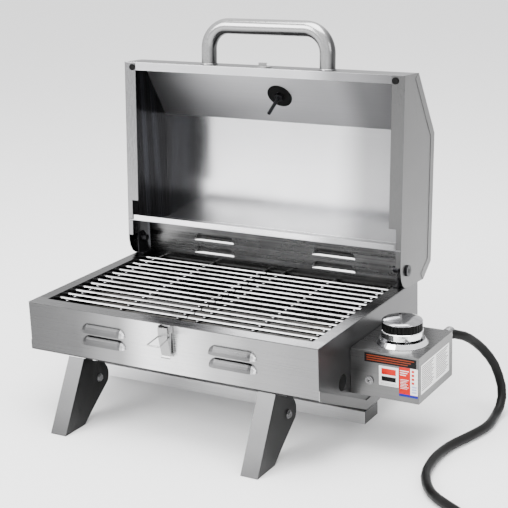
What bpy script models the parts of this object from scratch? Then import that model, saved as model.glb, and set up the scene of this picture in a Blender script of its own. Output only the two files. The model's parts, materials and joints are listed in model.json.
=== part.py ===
"""Portable tabletop gas grill with an open lid, folding legs, a side control box and a gas hose."""
import math

import bmesh
import bpy
from mathutils import Matrix, Vector

# ---------------------------------------------------------------- driving dimensions, metres
GAP = 0.0003
SHEET = 0.001

# Firebox. x of its middle, half width, front and rear faces, heights above the table.
BODY_X = -0.0525
HALF_W = 0.250
FRONT_Y = -0.171
REAR_Y = 0.171
RIM_Z = 0.185
FRONT_BOTTOM_Z = 0.109
TROUGH_HALF_Y = 0.0225
TROUGH_Z = 0.0387
REAR_WALL_Y = 0.1495
REAR_WALL_TOP_Z = 0.2345
RIM_WIDTH = 0.0195
LEDGE_Z = 0.1708
LAP = 0.0155

# Lid hinge, opening angle and lid section, measured from the hinge axis with the lid closed.
HINGE_Y = 0.1263
HINGE_Z = 0.2115
LID_OPEN = math.radians(93.8)
LID_RIM = -0.0245
LID_LIP_TOP = 0.0255
LID_TOP = 0.0935
LID_FRONT = -0.2998
LID_FOLD = -0.2016
LID_BACK_TOP = -0.0172
LID_BACK_RIM = -0.0340

# Control box and knob.
BOX_X0 = 0.1980
BOX_X1 = 0.3035
BOX_Y0 = -0.0730
BOX_Y1 = 0.0508
BOX_Z0 = 0.0850
BOX_Z1 = 0.1537
KNOB_X = 0.2555
KNOB_Y = -0.0205

# Legs: pivot and outline of one front leg in the y-z plane.
LEG_PIVOT_Y = -0.133
LEG_PIVOT_Z = 0.062
LEG_LEFT_X = -0.2200
LEG_RIGHT_X = 0.1135
LEG_WIDTH = 0.0280
BOLT_R = 0.003

# Grate.
BAR_R = 0.0025
BAR_TOP_Z = 0.181
BAR_PITCH = 0.01983
BAR_FIRST_Y = -0.1402
BAR_COUNT = 14

# Hose.
HOSE_R = 0.007
FITTING_X = 0.2860
FITTING_Z = 0.1380

STEEL = (0.62, 0.63, 0.64)
DARK = (0.03, 0.03, 0.03)


# ---------------------------------------------------------------- helpers
def start():
    """Empty the file and make the two collections."""
    for obj in list(bpy.data.objects):
        bpy.data.objects.remove(obj, do_unlink=True)
    parts = bpy.data.collections.new("tabletop_grill")
    cutters = bpy.data.collections.new("cutters")
    bpy.context.scene.collection.children.link(parts)
    bpy.context.scene.collection.children.link(cutters)
    return parts, cutters


PARTS, CUTTERS = start()


def material(name, colour, roughness, metallic):
    """Principled material of one sub-part."""
    mat = bpy.data.materials.new(name)
    mat.use_nodes = True
    shader = mat.node_tree.nodes["Principled BSDF"]
    shader.inputs["Base Color"].default_value = (*colour, 1.0)
    shader.inputs["Roughness"].default_value = roughness
    shader.inputs["Metallic"].default_value = metallic
    return mat


def part(name, bm, colour=STEEL, roughness=0.3, metallic=1.0, origin=(0, 0, 0), turn=0.0):
    """Turn a bmesh in local coordinates into a named sub-part; turn is about +X at the origin."""
    obj = shape(name, bm, origin, turn)
    PARTS.objects.link(obj)
    obj.data.materials.append(material(name, colour, roughness, metallic))
    return obj


def shape(name, bm, origin, turn):
    """Object from a bmesh."""
    mesh = bpy.data.meshes.new(name)
    bm.to_mesh(mesh)
    bm.free()
    obj = bpy.data.objects.new(name, mesh)
    obj.location = origin
    obj.rotation_euler = (turn, 0, 0)
    return obj


def facing_out(bm):
    """Make the faces of one closed solid point out."""
    bmesh.ops.recalc_face_normals(bm, faces=bm.faces)
    if bm.calc_volume(signed=True) < 0:
        bmesh.ops.reverse_faces(bm, faces=bm.faces)
    return bm


def combine(obj, bm, operation):
    """Boolean with a cutter given in the same local coordinates as the object."""
    cutter = shape(obj.name + "_cutter", bm, obj.location, obj.rotation_euler.x)
    CUTTERS.objects.link(cutter)
    cutter.hide_render = True
    cutter.display_type = "WIRE"
    mod = obj.modifiers.new("boolean", "BOOLEAN")
    mod.operation = operation
    mod.solver = "EXACT"
    mod.object = cutter


def cut(obj, bm):
    combine(obj, bm, "DIFFERENCE")


def join(obj, bm):
    combine(obj, bm, "UNION")


def box(x0, x1, y0, y1, z0, z1):
    """Block between two corners."""
    bm = bmesh.new()
    bmesh.ops.create_cube(bm, size=1.0)
    for vert in bm.verts:
        vert.co.x = x1 if vert.co.x > 0 else x0
        vert.co.y = y1 if vert.co.y > 0 else y0
        vert.co.z = z1 if vert.co.z > 0 else z0
    return facing_out(bm)


AXES = {
    "X": lambda u, v, w: (w, u, v),
    "Y": lambda u, v, w: (u, w, v),
    "Z": lambda u, v, w: (u, v, w),
}


def prism(axis, outline, low, high):
    """Flat outline extruded along one axis."""
    place = AXES[axis]
    bm = bmesh.new()
    face = bm.faces.new([bm.verts.new(place(u, v, low)) for u, v in outline])
    grown = bmesh.ops.extrude_face_region(bm, geom=[face])
    step = Vector(place(0, 0, high - low))
    for item in grown["geom"]:
        if isinstance(item, bmesh.types.BMVert):
            item.co += step
    return facing_out(bm)


def rod(axis, centre, radius, low, high, segments=24):
    """Cylinder along one axis; centre holds the two coordinates across it."""
    place = AXES[axis]
    bm = bmesh.new()
    bmesh.ops.create_cone(
        bm, cap_ends=True, segments=segments, radius1=radius, radius2=radius, depth=high - low
    )
    middle = (low + high) / 2
    for vert in bm.verts:
        vert.co = place(centre[0] + vert.co.x, centre[1] + vert.co.y, middle + vert.co.z)
    return facing_out(bm)


def merged(*pieces):
    """One bmesh holding several separate solids."""
    whole = bmesh.new()
    for piece in pieces:
        mesh = bpy.data.meshes.new("merge")
        piece.to_mesh(mesh)
        piece.free()
        whole.from_mesh(mesh)
        bpy.data.meshes.remove(mesh)
    return whole


def sheet(points, thickness):
    """Outline of a folded sheet: the given polyline and its offset to the right-hand side."""
    inner = []
    for index, point in enumerate(points):
        before = points[index - 1] if index > 0 else None
        after = points[index + 1] if index + 1 < len(points) else None
        sides = []
        for start_point, end_point in ((before, point), (point, after)):
            if start_point is None or end_point is None:
                continue
            along = Vector(end_point) - Vector(start_point)
            along.normalize()
            sides.append(Vector((along.y, -along.x)))
        mean = sum(sides, Vector((0, 0))) / len(sides)
        inner.append(tuple(Vector(point) + mean * thickness / mean.length_squared))
    return list(points) + inner[::-1]


def arc(centre, radius, first, last, steps):
    """Points on an arc, angles in degrees."""
    points = []
    for step in range(steps + 1):
        angle = math.radians(first + (last - first) * step / steps)
        points.append((centre[0] + radius * math.cos(angle), centre[1] + radius * math.sin(angle)))
    return points


def slot(length, width, centre, steps=8):
    """Outline of a round-ended slot lying along the first coordinate."""
    reach = length / 2 - width / 2
    right = arc((centre[0] + reach, centre[1]), width / 2, -90, 90, steps)
    left = arc((centre[0] - reach, centre[1]), width / 2, 90, 270, steps)
    return right + left


def turned(name, profile, steps, colour, roughness, metallic, origin, tilt=(0, 0, 0)):
    """Turned sub-part: profile of (radius, height) from top to bottom, about its own Z axis."""
    bm = bmesh.new()
    verts = [bm.verts.new((radius, 0, height)) for radius, height in profile]
    for first, second in zip(verts, verts[1:]):
        bm.edges.new((first, second))
    mesh = bpy.data.meshes.new(name)
    bm.to_mesh(mesh)
    bm.free()
    obj = bpy.data.objects.new(name, mesh)
    PARTS.objects.link(obj)
    obj.location = origin
    obj.rotation_euler = tilt
    mod = obj.modifiers.new("turn", "SCREW")
    mod.axis = "Z"
    mod.angle = math.tau
    mod.steps = steps
    mod.render_steps = steps
    mod.use_merge_vertices = True
    mod.merge_threshold = 0.00001
    obj.data.materials.append(material(name, colour, roughness, metallic))
    return obj


def wire(points, radius, resolution=2, cyclic=False):
    """Closed solid of a bent round wire."""
    curve = bpy.data.curves.new("wire", "CURVE")
    curve.dimensions = "3D"
    curve.bevel_depth = radius
    curve.bevel_resolution = resolution
    curve.use_fill_caps = not cyclic
    line = curve.splines.new("POLY")
    line.points.add(len(points) - 1)
    for place, point in zip(line.points, points):
        place.co = (*point, 1.0)
    line.use_cyclic_u = cyclic
    temp = bpy.data.objects.new("wire", curve)
    bpy.context.scene.collection.objects.link(temp)
    graph = bpy.context.evaluated_depsgraph_get()
    mesh = bpy.data.meshes.new_from_object(temp.evaluated_get(graph))
    bm = bmesh.new()
    bm.from_mesh(mesh)
    bmesh.ops.remove_doubles(bm, verts=bm.verts, dist=0.000005)
    bpy.data.meshes.remove(mesh)
    bpy.data.objects.remove(temp, do_unlink=True)
    bpy.data.curves.remove(curve)
    return facing_out(bm)


def rounded_path(points, radius, steps=6):
    """Polyline with its inner corners rounded."""
    path = [Vector(points[0])]
    for before, corner, after in zip(points, points[1:], points[2:]):
        corner = Vector(corner)
        back = (Vector(before) - corner).normalized()
        ahead = (Vector(after) - corner).normalized()
        half = back.angle(ahead) / 2
        trim = radius / math.tan(half)
        middle = corner + (back + ahead).normalized() * radius / math.sin(half)
        first = corner + back * trim - middle
        last = corner + ahead * trim - middle
        sweep = first.angle(last)
        for step in range(steps + 1):
            part_way = step / steps
            blend = (first * math.sin((1 - part_way) * sweep) + last * math.sin(part_way * sweep))
            path.append(middle + blend / math.sin(sweep))
    path.append(Vector(points[-1]))
    return path


def smooth_path(route, spacing):
    """Evenly spaced points on a smooth curve through the route points."""
    ends = [route[0] * 2 - route[1]] + list(route) + [route[-1] * 2 - route[-2]]
    fine = []
    for p0, p1, p2, p3 in zip(ends, ends[1:], ends[2:], ends[3:]):
        for step in range(40):
            t = step / 40
            bend = (p2 - p0) * t + (p0 * 2 - p1 * 5 + p2 * 4 - p3) * t * t
            fine.append(p1 + (bend + (p1 * 3 - p0 - p2 * 3 + p3) * t ** 3) / 2)
    fine.append(route[-1])
    length = sum((b - a).length for a, b in zip(fine, fine[1:]))
    count = max(2, round(length / spacing))
    result = [fine[0]]
    walked = 0.0
    for a, b in zip(fine, fine[1:]):
        piece = (b - a).length
        while len(result) < count and walked + piece >= len(result) * length / count:
            share = (len(result) * length / count - walked) / piece
            result.append(a.lerp(b, share))
        walked += piece
    result.append(fine[-1])
    return result


# ---------------------------------------------------------------- firebox
def pan_height(y):
    """Height of the upper surface of the V-shaped bottom."""
    trough_top = TROUGH_Z + SHEET
    share = max(0.0, (abs(y) - TROUGH_HALF_Y) / (REAR_Y - TROUGH_HALF_Y))
    return trough_top + share * (FRONT_BOTTOM_Z - trough_top)


def capsule(length, height, depth):
    """Long rounded solid along X about the origin."""
    bm = bmesh.new()
    bmesh.ops.create_uvsphere(bm, u_segments=16, v_segments=9, radius=1.0)
    for vert in bm.verts:
        shift = length / 2 - height
        x = vert.co.z * height + (shift if vert.co.z > 0 else -shift)
        vert.co = (x, vert.co.x * depth, vert.co.y * height)
    return bm


def louvre(wall, x, y, z, outward):
    """Hooded louvre pressed out of a wall; outward is -1 towards the front, 1 towards the rear."""
    for length, height, depth, operation in (
        (0.079, 0.0135, 0.0085, "UNION"),
        (0.0772, 0.0126, 0.0076, "DIFFERENCE"),
    ):
        hood = capsule(length, height, depth)
        keep_above = 0.0 if operation == "UNION" else -0.0006
        bmesh.ops.bisect_plane(
            hood, geom=hood.verts[:] + hood.edges[:] + hood.faces[:],
            plane_co=(0, 0, keep_above), plane_no=(0, 0, 1), clear_inner=True,
        )
        bmesh.ops.holes_fill(hood, edges=hood.edges[:])
        if operation == "UNION":
            bmesh.ops.bisect_plane(
                hood, geom=hood.verts[:] + hood.edges[:] + hood.faces[:],
                plane_co=(0, -outward * SHEET / 2, 0), plane_no=(0, outward, 0), clear_inner=True,
            )
            bmesh.ops.holes_fill(hood, edges=hood.edges[:])
        for vert in hood.verts:
            vert.co += Vector((x, y, z))
        combine(wall, facing_out(hood), operation)


LOUVRE_X = (-0.1105, 0.1135)


def front_panel():
    """Front wall with two pairs of louvres."""
    wall = part("front_panel", box(
        BODY_X - HALF_W, BODY_X + HALF_W, FRONT_Y, FRONT_Y + SHEET,
        FRONT_BOTTOM_Z + GAP, RIM_Z - 0.0012 - GAP,
    ))
    for x in LOUVRE_X:
        for z in (0.1525, 0.1335):
            louvre(wall, BODY_X + x, FRONT_Y, z, -1)


def rear_wall():
    """Tall rear wall behind the grates, with louvres and a ledge for the grates."""
    inner = HALF_W - SHEET - GAP
    wall = part("rear_wall", box(
        BODY_X - inner, BODY_X + inner, REAR_WALL_Y, REAR_WALL_Y + SHEET,
        pan_height(REAR_WALL_Y) + 0.001, REAR_WALL_TOP_Z,
    ), roughness=0.12)
    shoulder_z = RIM_Z - 0.0012
    for side in (-1, 1):
        low, high = sorted((BODY_X + side * 0.2400, BODY_X + side * 0.2600))
        cut(wall, box(low, high, REAR_WALL_Y - 0.01, REAR_WALL_Y + 0.01, shoulder_z, 0.3))
    join(wall, box(
        BODY_X - 0.2290, BODY_X + 0.2290, REAR_WALL_Y - 0.012, REAR_WALL_Y + SHEET / 2,
        LEDGE_Z - SHEET, LEDGE_Z,
    ))
    join(wall, box(
        BODY_X - 0.2390, BODY_X + 0.2390, REAR_WALL_Y + SHEET / 2, REAR_WALL_Y + 0.006,
        REAR_WALL_TOP_Z - SHEET, REAR_WALL_TOP_Z,
    ))
    for x in LOUVRE_X:
        for z in (0.1885, 0.2105):
            louvre(wall, BODY_X + x, REAR_WALL_Y + SHEET, z, 1)


def side_panel(side, name):
    """Pentagonal side wall with a short flange turned in at the rear."""
    y0 = FRONT_Y + SHEET + GAP
    outline = [
        (y0, pan_height(y0) + 0.0005),
        (-TROUGH_HALF_Y, pan_height(0) + 0.0005),
        (TROUGH_HALF_Y, pan_height(0) + 0.0005),
        (REAR_Y, pan_height(REAR_Y) + 0.0005),
        (REAR_Y, RIM_Z - 0.0012 - GAP),
        (y0, RIM_Z - 0.0012 - GAP),
    ]
    low, high = sorted((BODY_X + side * HALF_W, BODY_X + side * (HALF_W - SHEET)))
    wall = part(name, prism("X", outline, low, high), roughness=0.2)
    low, high = sorted((BODY_X + side * (HALF_W - SHEET / 2), BODY_X + side * (HALF_W - 0.014)))
    join(wall, box(low, high, REAR_Y - SHEET, REAR_Y, pan_height(REAR_Y) + 0.0015, RIM_Z - 0.0035))
    if side > 0:
        cut(wall, rod("X", (-0.0974, 0.1093), 0.0125, low - 0.05, high + 0.05, 32))
        cut(wall, rod("X", (KNOB_Y, 0.1250), 0.0135, low - 0.05, high + 0.05, 32))


def top_rim():
    """Flat rim round three sides of the grates with a step down to the grate ledge."""
    plate_z = RIM_Z - 0.0012
    end = REAR_WALL_Y - GAP
    inner = HALF_W - RIM_WIDTH
    front = FRONT_Y + 0.0225
    rim = part("top_rim", prism("Z", [
        (BODY_X - HALF_W, end), (BODY_X - HALF_W, FRONT_Y),
        (BODY_X + HALF_W, FRONT_Y), (BODY_X + HALF_W, end),
        (BODY_X + inner, end), (BODY_X + inner, front),
        (BODY_X - inner, front), (BODY_X - inner, end),
    ], plate_z, RIM_Z), roughness=0.25)
    for depth, wide, low, high in (
        (0.0, SHEET, LEDGE_Z - SHEET, RIM_Z - 0.0005),
        (0.0, 0.0080, LEDGE_Z - SHEET, LEDGE_Z),
    ):
        join(rim, prism("Z", [
            (BODY_X - inner - SHEET, end - 0.0125), (BODY_X - inner - SHEET, front - SHEET),
            (BODY_X + inner + SHEET, front - SHEET), (BODY_X + inner + SHEET, end - 0.0125),
            (BODY_X + inner + SHEET - wide, end - 0.0125),
            (BODY_X + inner + SHEET - wide, front - SHEET + wide),
            (BODY_X - inner - SHEET + wide, front - SHEET + wide),
            (BODY_X - inner - SHEET + wide, end - 0.0125),
        ], low, high))


def bottom_pan():
    """V-shaped bottom with a drain slot and side flanges lapped over the side walls."""
    top = [
        (FRONT_Y, FRONT_BOTTOM_Z), (-TROUGH_HALF_Y, TROUGH_Z + SHEET),
        (TROUGH_HALF_Y, TROUGH_Z + SHEET), (REAR_Y, FRONT_BOTTOM_Z),
    ]
    reach = HALF_W + GAP + SHEET
    pan = part("bottom_pan", prism("X", sheet(top, SHEET), BODY_X - reach, BODY_X + reach))
    lower = sheet(top, SHEET)[4:][::-1]
    lap = [(y, z + 0.0002) for y, z in lower] + [(y, z + LAP) for y, z in lower[::-1]]
    for side in (-1, 1):
        low, high = sorted((BODY_X + side * reach, BODY_X + side * (HALF_W + GAP)))
        join(pan, prism("X", lap, low, high))
    cut(pan, prism("Z", slot(0.120, 0.016, (BODY_X, 0.0)), TROUGH_Z - 0.01, TROUGH_Z + 0.01))
    return pan


def tray_runner(side, name):
    """Hanging rail under the flat of the bottom; its foot carries one lip of the tray."""
    outline = [
        (0.0120, TROUGH_Z - GAP), (0.0160, TROUGH_Z - GAP), (0.0160, 0.0332), (0.0205, 0.0332),
        (0.0205, 0.0320), (0.0148, 0.0320), (0.0148, 0.0372), (0.0120, 0.0372),
    ]
    outline = [(side * y, z) for y, z in outline]
    part(name, prism("X", outline, BODY_X - 0.2480, BODY_X + 0.2430), roughness=0.35)


def grease_tray():
    """Long trough hung by its inturned lips; slides out to the right."""
    x0 = BODY_X - 0.2480
    x1 = BODY_X + 0.2480
    tray = part("grease_tray", box(x0, x1, -0.0225, 0.0225, 0.0145, 0.0345), roughness=0.35)
    cut(tray, box(x0 + SHEET, x1 - SHEET, -0.0215, 0.0215, 0.0155, 0.0335))
    cut(tray, box(x0 + 0.0005, x1 - SHEET, -0.0173, 0.0173, 0.0300, 0.0400))
    cut(tray, box(x0 - 0.01, x0 + 0.0015, -0.0215, 0.0215, 0.0290, 0.0336))
    cut(tray, box(x0 - 0.01, x0 + 0.0015, -0.0173, 0.0173, 0.0290, 0.0400))


def hinge_ear(side, name):
    """Bracket standing on the rear of the rim that carries one hinge bolt."""
    outline = [(HINGE_Y - 0.0118, RIM_Z + GAP), (HINGE_Y + 0.0195, RIM_Z + GAP)] + [
        (HINGE_Y + y, HINGE_Z + z) for y, z in arc((0, 0), 0.0118, 20, 180, 12)
    ]
    low, high = sorted((BODY_X + side * 0.2405, BODY_X + side * 0.2420))
    ear = part(name, prism("X", outline, low, high), (0.06, 0.06, 0.06), 0.3)
    low, high = sorted((BODY_X + side * 0.2320, BODY_X + side * 0.2410))
    join(ear, box(low, high, HINGE_Y - 0.0100, HINGE_Y + 0.0190, RIM_Z + GAP, RIM_Z + GAP + 0.0015))
    cut(ear, rod("X", (HINGE_Y, HINGE_Z), 0.0032, BODY_X - 0.4, BODY_X + 0.4))


def hinge_bolt(side, name):
    """Shoulder bolt from the outside of the lid through the ear, with a domed nut inside."""
    outer = side * (HALF_W + GAP + SHEET + GAP)
    bolt = part(name, rod(
        "X", (HINGE_Y, HINGE_Z), BOLT_R,
        *sorted((BODY_X + outer + side * 0.001, BODY_X + side * 0.2350)), 20,
    ), (0.55, 0.55, 0.55), 0.3)
    head = sorted((BODY_X + outer, BODY_X + outer + side * 0.0032))
    join(bolt, rod("X", (HINGE_Y, HINGE_Z), 0.0088, *head))
    join(bolt, rod(
        "X", (HINGE_Y, HINGE_Z), 0.0052,
        *sorted((BODY_X + side * 0.2402, BODY_X + side * 0.2300)), 16,
    ))
    join(bolt, rod(
        "X", (HINGE_Y, HINGE_Z), 0.0050,
        *sorted((BODY_X + side * 0.2423, BODY_X + side * (HALF_W - 0.0001))), 16,
    ))


# ---------------------------------------------------------------- legs
# Outline of one front leg about its pivot: sloping front edge, foot, rear edge, round nose.
LEG_OUTLINE = (
    [(-0.0350, 0.0435), (-0.0930, -0.0618), (-0.0440, -0.0618), (-0.0240, -0.0457)]
    + arc((0, 0), 0.0243, -32.0, 64.85, 10)
)
LEG_PLATE = 0.0012
SLOPE_DEG = 64.85


def leg_edge_cut():
    """Region inside the channel, clear of the plate along the sloping front edge."""
    top = Vector(LEG_OUTLINE[0])
    foot = Vector(LEG_OUTLINE[1])
    along = (top - foot).normalized()
    inward = Vector((along.y, -along.x)) * LEG_PLATE
    below = tuple(foot + inward - along * 0.01)
    above = tuple(top + inward + along * 0.01)
    return [below, (0.06, -0.08), (0.06, 0.06), above]


def leg(x, end, name):
    """Folding leg: channel of sheet steel. end is 1 for a front leg and -1 for a rear leg."""
    half = LEG_WIDTH / 2
    foot = part(name, prism(
        "X", [(y * end, z) for y, z in LEG_OUTLINE], -half, half
    ), origin=(x, LEG_PIVOT_Y * end, LEG_PIVOT_Z), roughness=0.28)
    inside = [(y * end, z) for y, z in leg_edge_cut()]
    cut(foot, prism("X", inside, LEG_PLATE - half, half - LEG_PLATE))
    cut(foot, rod("X", (0, 0), BOLT_R + 0.0002, -0.05, 0.05))


def slope_strip(height, *places):
    """Points at one height above the pivot, square to the slope, at places along it."""
    up = Vector((math.cos(math.radians(SLOPE_DEG)), math.sin(math.radians(SLOPE_DEG))))
    along = Vector((up.y, -up.x))
    return [tuple(up * height + along * place) for place in places]


def leg_ears(pan, x, end):
    """Two ears welded under the sloping bottom, inside the leg's channel, for its pivot bolt."""
    half = LEG_WIDTH / 2 - LEG_PLATE - GAP
    round_end = arc((0, 0), 0.0090, 154.85, 334.85, 10)
    top = slope_strip(0.0258, 0.0090, -0.0090)
    outline = [((LEG_PIVOT_Y + y) * end, LEG_PIVOT_Z + z) for y, z in round_end + top]
    for side in (-1, 1):
        join(pan, prism("X", outline, *sorted((x + side * half, x + side * (half - LEG_PLATE)))))
    cut(pan, rod("X", (LEG_PIVOT_Y * end, LEG_PIVOT_Z), BOLT_R + 0.0002, x - 0.02, x + 0.02))


def leg_bolt(x, end, name):
    """Pivot bolt with a flanged head and nut."""
    face = LEG_WIDTH / 2 + GAP
    origin = (x, LEG_PIVOT_Y * end, LEG_PIVOT_Z)
    shank = rod("X", (0, 0), BOLT_R, -face - 0.001, face + 0.001, 16)
    bolt = part(name, shank, (0.5, 0.5, 0.5), 0.3, origin=origin)
    for side in (-1, 1):
        join(bolt, rod("X", (0, 0), 0.0065, *sorted((side * face, side * (face + 0.0012)))))
        join(bolt, rod("X", (0, 0), 0.0050, *sorted((side * (face + 0.0010), side * (face + 0.0036))), 6))


def legs(pan):
    """Four legs with their ears and bolts."""
    for end, row in ((1, "front"), (-1, "rear")):
        for x, column in ((LEG_LEFT_X, "left"), (LEG_RIGHT_X, "right")):
            leg(x, end, f"{row}_{column}_leg")
            leg_ears(pan, x, end)
            leg_bolt(x, end, f"{row}_{column}_leg_bolt")


# ---------------------------------------------------------------- grates and burner
BURNER_Z = 0.1250
BURNER_R = 0.0125
CRADLE_HALF = 0.0155
TAMER_HALF = 0.0450
TAMER_EDGE_Z = 0.1440
TAMER_TOP_Z = 0.1640


def grate(x0, x1, name):
    """Wire grate: bars side by side welded on cross wires that rest on the ledges."""
    z = BAR_TOP_Z - BAR_R
    bars = [rod("X", (BAR_FIRST_Y + index * BAR_PITCH, z), BAR_R, x0, x1, 10) for index in range(BAR_COUNT)]
    whole = part(name, merged(*bars), roughness=0.2)
    middle = (x0 + x1) / 2
    low = z - 2 * BAR_R + 0.0001
    wires = [rod("Y", (x, low), BAR_R, -0.1480, 0.1480, 10) for x in (x0 + 0.016, middle, x1 - 0.016)]
    join(whole, merged(*wires))


def burner():
    """Straight burner tube with its cradle, and the hooded flame tamer above it."""
    x0 = BODY_X - 0.2100
    x1 = BODY_X + 0.2710
    centre = (KNOB_Y, BURNER_Z)
    tube = part("burner_tube", rod("X", centre, BURNER_R, x0, x1, 24), (0.45, 0.44, 0.42), 0.4)
    cut(tube, rod("X", centre, BURNER_R - SHEET, x0 + SHEET, x1 + 0.01, 24))
    cradle_x = x0 + 0.0080
    floor = TROUGH_Z + SHEET + GAP
    top = BURNER_Z + 0.0170
    bracket = part("burner_bracket", prism("X", [
        (-TROUGH_HALF_Y + 0.001, floor), (KNOB_Y + CRADLE_HALF, floor), (KNOB_Y + CRADLE_HALF, top),
        (KNOB_Y - CRADLE_HALF, top), (KNOB_Y - CRADLE_HALF, floor + 0.0080),
    ], cradle_x, cradle_x + 0.0012), roughness=0.35)
    foot_back = KNOB_Y + CRADLE_HALF - 0.0001
    join(bracket, box(cradle_x, cradle_x + 0.0120, KNOB_Y, foot_back, floor, floor + 0.0012))
    cut(bracket, rod("X", centre, BURNER_R + GAP, cradle_x - 0.01, cradle_x + 0.01, 24))
    hood = sheet([
        (KNOB_Y - TAMER_HALF, TAMER_EDGE_Z), (KNOB_Y, TAMER_TOP_Z), (KNOB_Y + TAMER_HALF, TAMER_EDGE_Z),
    ], SHEET)
    reach = HALF_W - SHEET - GAP
    part("flame_tamer", prism("X", hood, BODY_X - reach, BODY_X + reach), roughness=0.4)


# ---------------------------------------------------------------- control box, valve and knob
SCREW_X = 0.2278
SCREW_Z = 0.1094
VALVE_LOW_Z = 0.1120
VALVE_HIGH_Z = 0.1380
ORIFICE_END_X = 0.2267
KNOB_RIBS = 32


def control_box():
    """Box on the right side, open towards the firebox, with its front screw."""
    wall = part("control_box_shell", box(BOX_X0, BOX_X1, BOX_Y0, BOX_Y1, BOX_Z0, BOX_Z1), roughness=0.3)
    cut(wall, box(
        BOX_X0 - 0.01, BOX_X1 - SHEET, BOX_Y0 + SHEET, BOX_Y1 - SHEET, BOX_Z0 + SHEET, BOX_Z1 - SHEET
    ))
    cut(wall, rod("Z", (KNOB_X, KNOB_Y), 0.0062, BOX_Z1 - 0.01, BOX_Z1 + 0.01))
    cut(wall, rod("Y", (FITTING_X, FITTING_Z), 0.0088, BOX_Y1 - 0.01, BOX_Y1 + 0.01))
    cut(wall, rod("Y", (SCREW_X, SCREW_Z), 0.0023, BOX_Y0 - 0.01, BOX_Y0 + 0.01, 16))
    screw = part("control_box_screw", rod("Y", (SCREW_X, SCREW_Z), 0.0060, BOX_Y0 - 0.0020, BOX_Y0 - GAP))
    join(screw, rod("Y", (SCREW_X, SCREW_Z), 0.0020, BOX_Y0 - 0.0010, BOX_Y0 + 0.0080, 16))
    join(screw, rod("Y", (SCREW_X, SCREW_Z), 0.0038, BOX_Y0 - 0.0036, BOX_Y0 - 0.0015, 16))


def gas_valve():
    """Valve body with its outlet nipple and orifice, the supply pipe and the inlet fitting."""
    valve = part("gas_valve", box(
        KNOB_X - 0.0150, KNOB_X + 0.0150, KNOB_Y - 0.0130, KNOB_Y + 0.0130, VALVE_LOW_Z, VALVE_HIGH_Z
    ), (0.45, 0.40, 0.28), 0.4)
    join(valve, rod("Z", (KNOB_X, KNOB_Y), 0.0085, VALVE_HIGH_Z - 0.0010, VALVE_HIGH_Z + 0.0120))
    join(valve, rod("X", (KNOB_Y, BURNER_Z), 0.0055, 0.2270, KNOB_X - 0.0140))
    cut(valve, rod("Z", (KNOB_X, KNOB_Y), 0.0043, 0.1165, 0.1600))
    orifice = part("gas_orifice", rod(
        "X", (KNOB_Y, BURNER_Z), 0.0058, ORIFICE_END_X - 0.0045, ORIFICE_END_X, 6
    ), (0.6, 0.45, 0.2), 0.3)
    join(orifice, rod("X", (KNOB_Y, BURNER_Z), 0.0040, ORIFICE_END_X - 0.0125, ORIFICE_END_X - 0.0040, 16))
    valve_rear = KNOB_Y + 0.0130 + GAP
    route = [
        (KNOB_X, valve_rear, BURNER_Z), (KNOB_X, 0.0100, BURNER_Z),
        (FITTING_X, 0.0300, FITTING_Z), (FITTING_X, BOX_Y1 - 0.0043, FITTING_Z),
    ]
    part("supply_pipe", wire(rounded_path(route, 0.010), 0.0035), (0.6, 0.45, 0.2), 0.3)
    fitting = part("inlet_fitting", rod(
        "Y", (FITTING_X, FITTING_Z), 0.0085, BOX_Y1 - 0.0040, BOX_Y1 + 0.0205
    ), (0.6, 0.5, 0.3), 0.35)
    join(fitting, rod("Y", (FITTING_X, FITTING_Z), 0.0112, BOX_Y1 + GAP, BOX_Y1 + 0.0100, 6))


def knob():
    """Bezel on the box, sprung stem, chrome skirt, ribbed grip and glossy cap."""
    centre = (KNOB_X, KNOB_Y, 0.0)
    turned("knob_bezel", [
        (0.0330, 0.1605), (0.0375, 0.1540), (0.0362, 0.1540), (0.0322, 0.1593),
        (0.0070, 0.1593), (0.0070, 0.1605), (0.0330, 0.1605),
    ], 48, (0.8, 0.8, 0.8), 0.12, 1.0, centre)
    part("valve_stem", rod("Z", (0, 0), 0.0040, 0.1198, 0.1852, 20), (0.7, 0.6, 0.4), 0.3, origin=centre)
    turned("knob_skirt", [
        (0.0295, 0.1735), (0.0305, 0.1727), (0.0305, 0.1641), (0.0285, 0.1641), (0.0285, 0.1715),
        (0.0043, 0.1715), (0.0043, 0.1735), (0.0295, 0.1735),
    ], 48, (0.85, 0.85, 0.85), 0.1, 1.0, centre)
    outline = []
    for index in range(KNOB_RIBS * 4):
        radius = 0.0293 if index % 4 in (0, 1) else 0.0283
        angle = math.tau * index / (KNOB_RIBS * 4)
        outline.append((radius * math.cos(angle), radius * math.sin(angle)))
    grip = part("knob_grip", prism("Z", outline, 0.1738, 0.1855), DARK, 0.45, 0.0, origin=centre)
    cut(grip, rod("Z", (0, 0), 0.0043, 0.1700, 0.1900))
    turned("knob_cap", [
        (0.0, 0.1900), (0.0270, 0.1900), (0.0289, 0.1893),
        (0.0297, 0.1878), (0.0297, 0.1858), (0.0, 0.1858),
    ], 48, (0.2, 0.2, 0.2), 0.1, 0.3, centre)


# ---------------------------------------------------------------- latch on the front panel
LATCH_X = BODY_X + 0.0060
LATCH_PIN = (FRONT_Y - 0.0075, FRONT_BOTTOM_Z + 0.0715)
BAIL_PIVOT = (FRONT_Y - 0.0090, FRONT_BOTTOM_Z + 0.0605)


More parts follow.
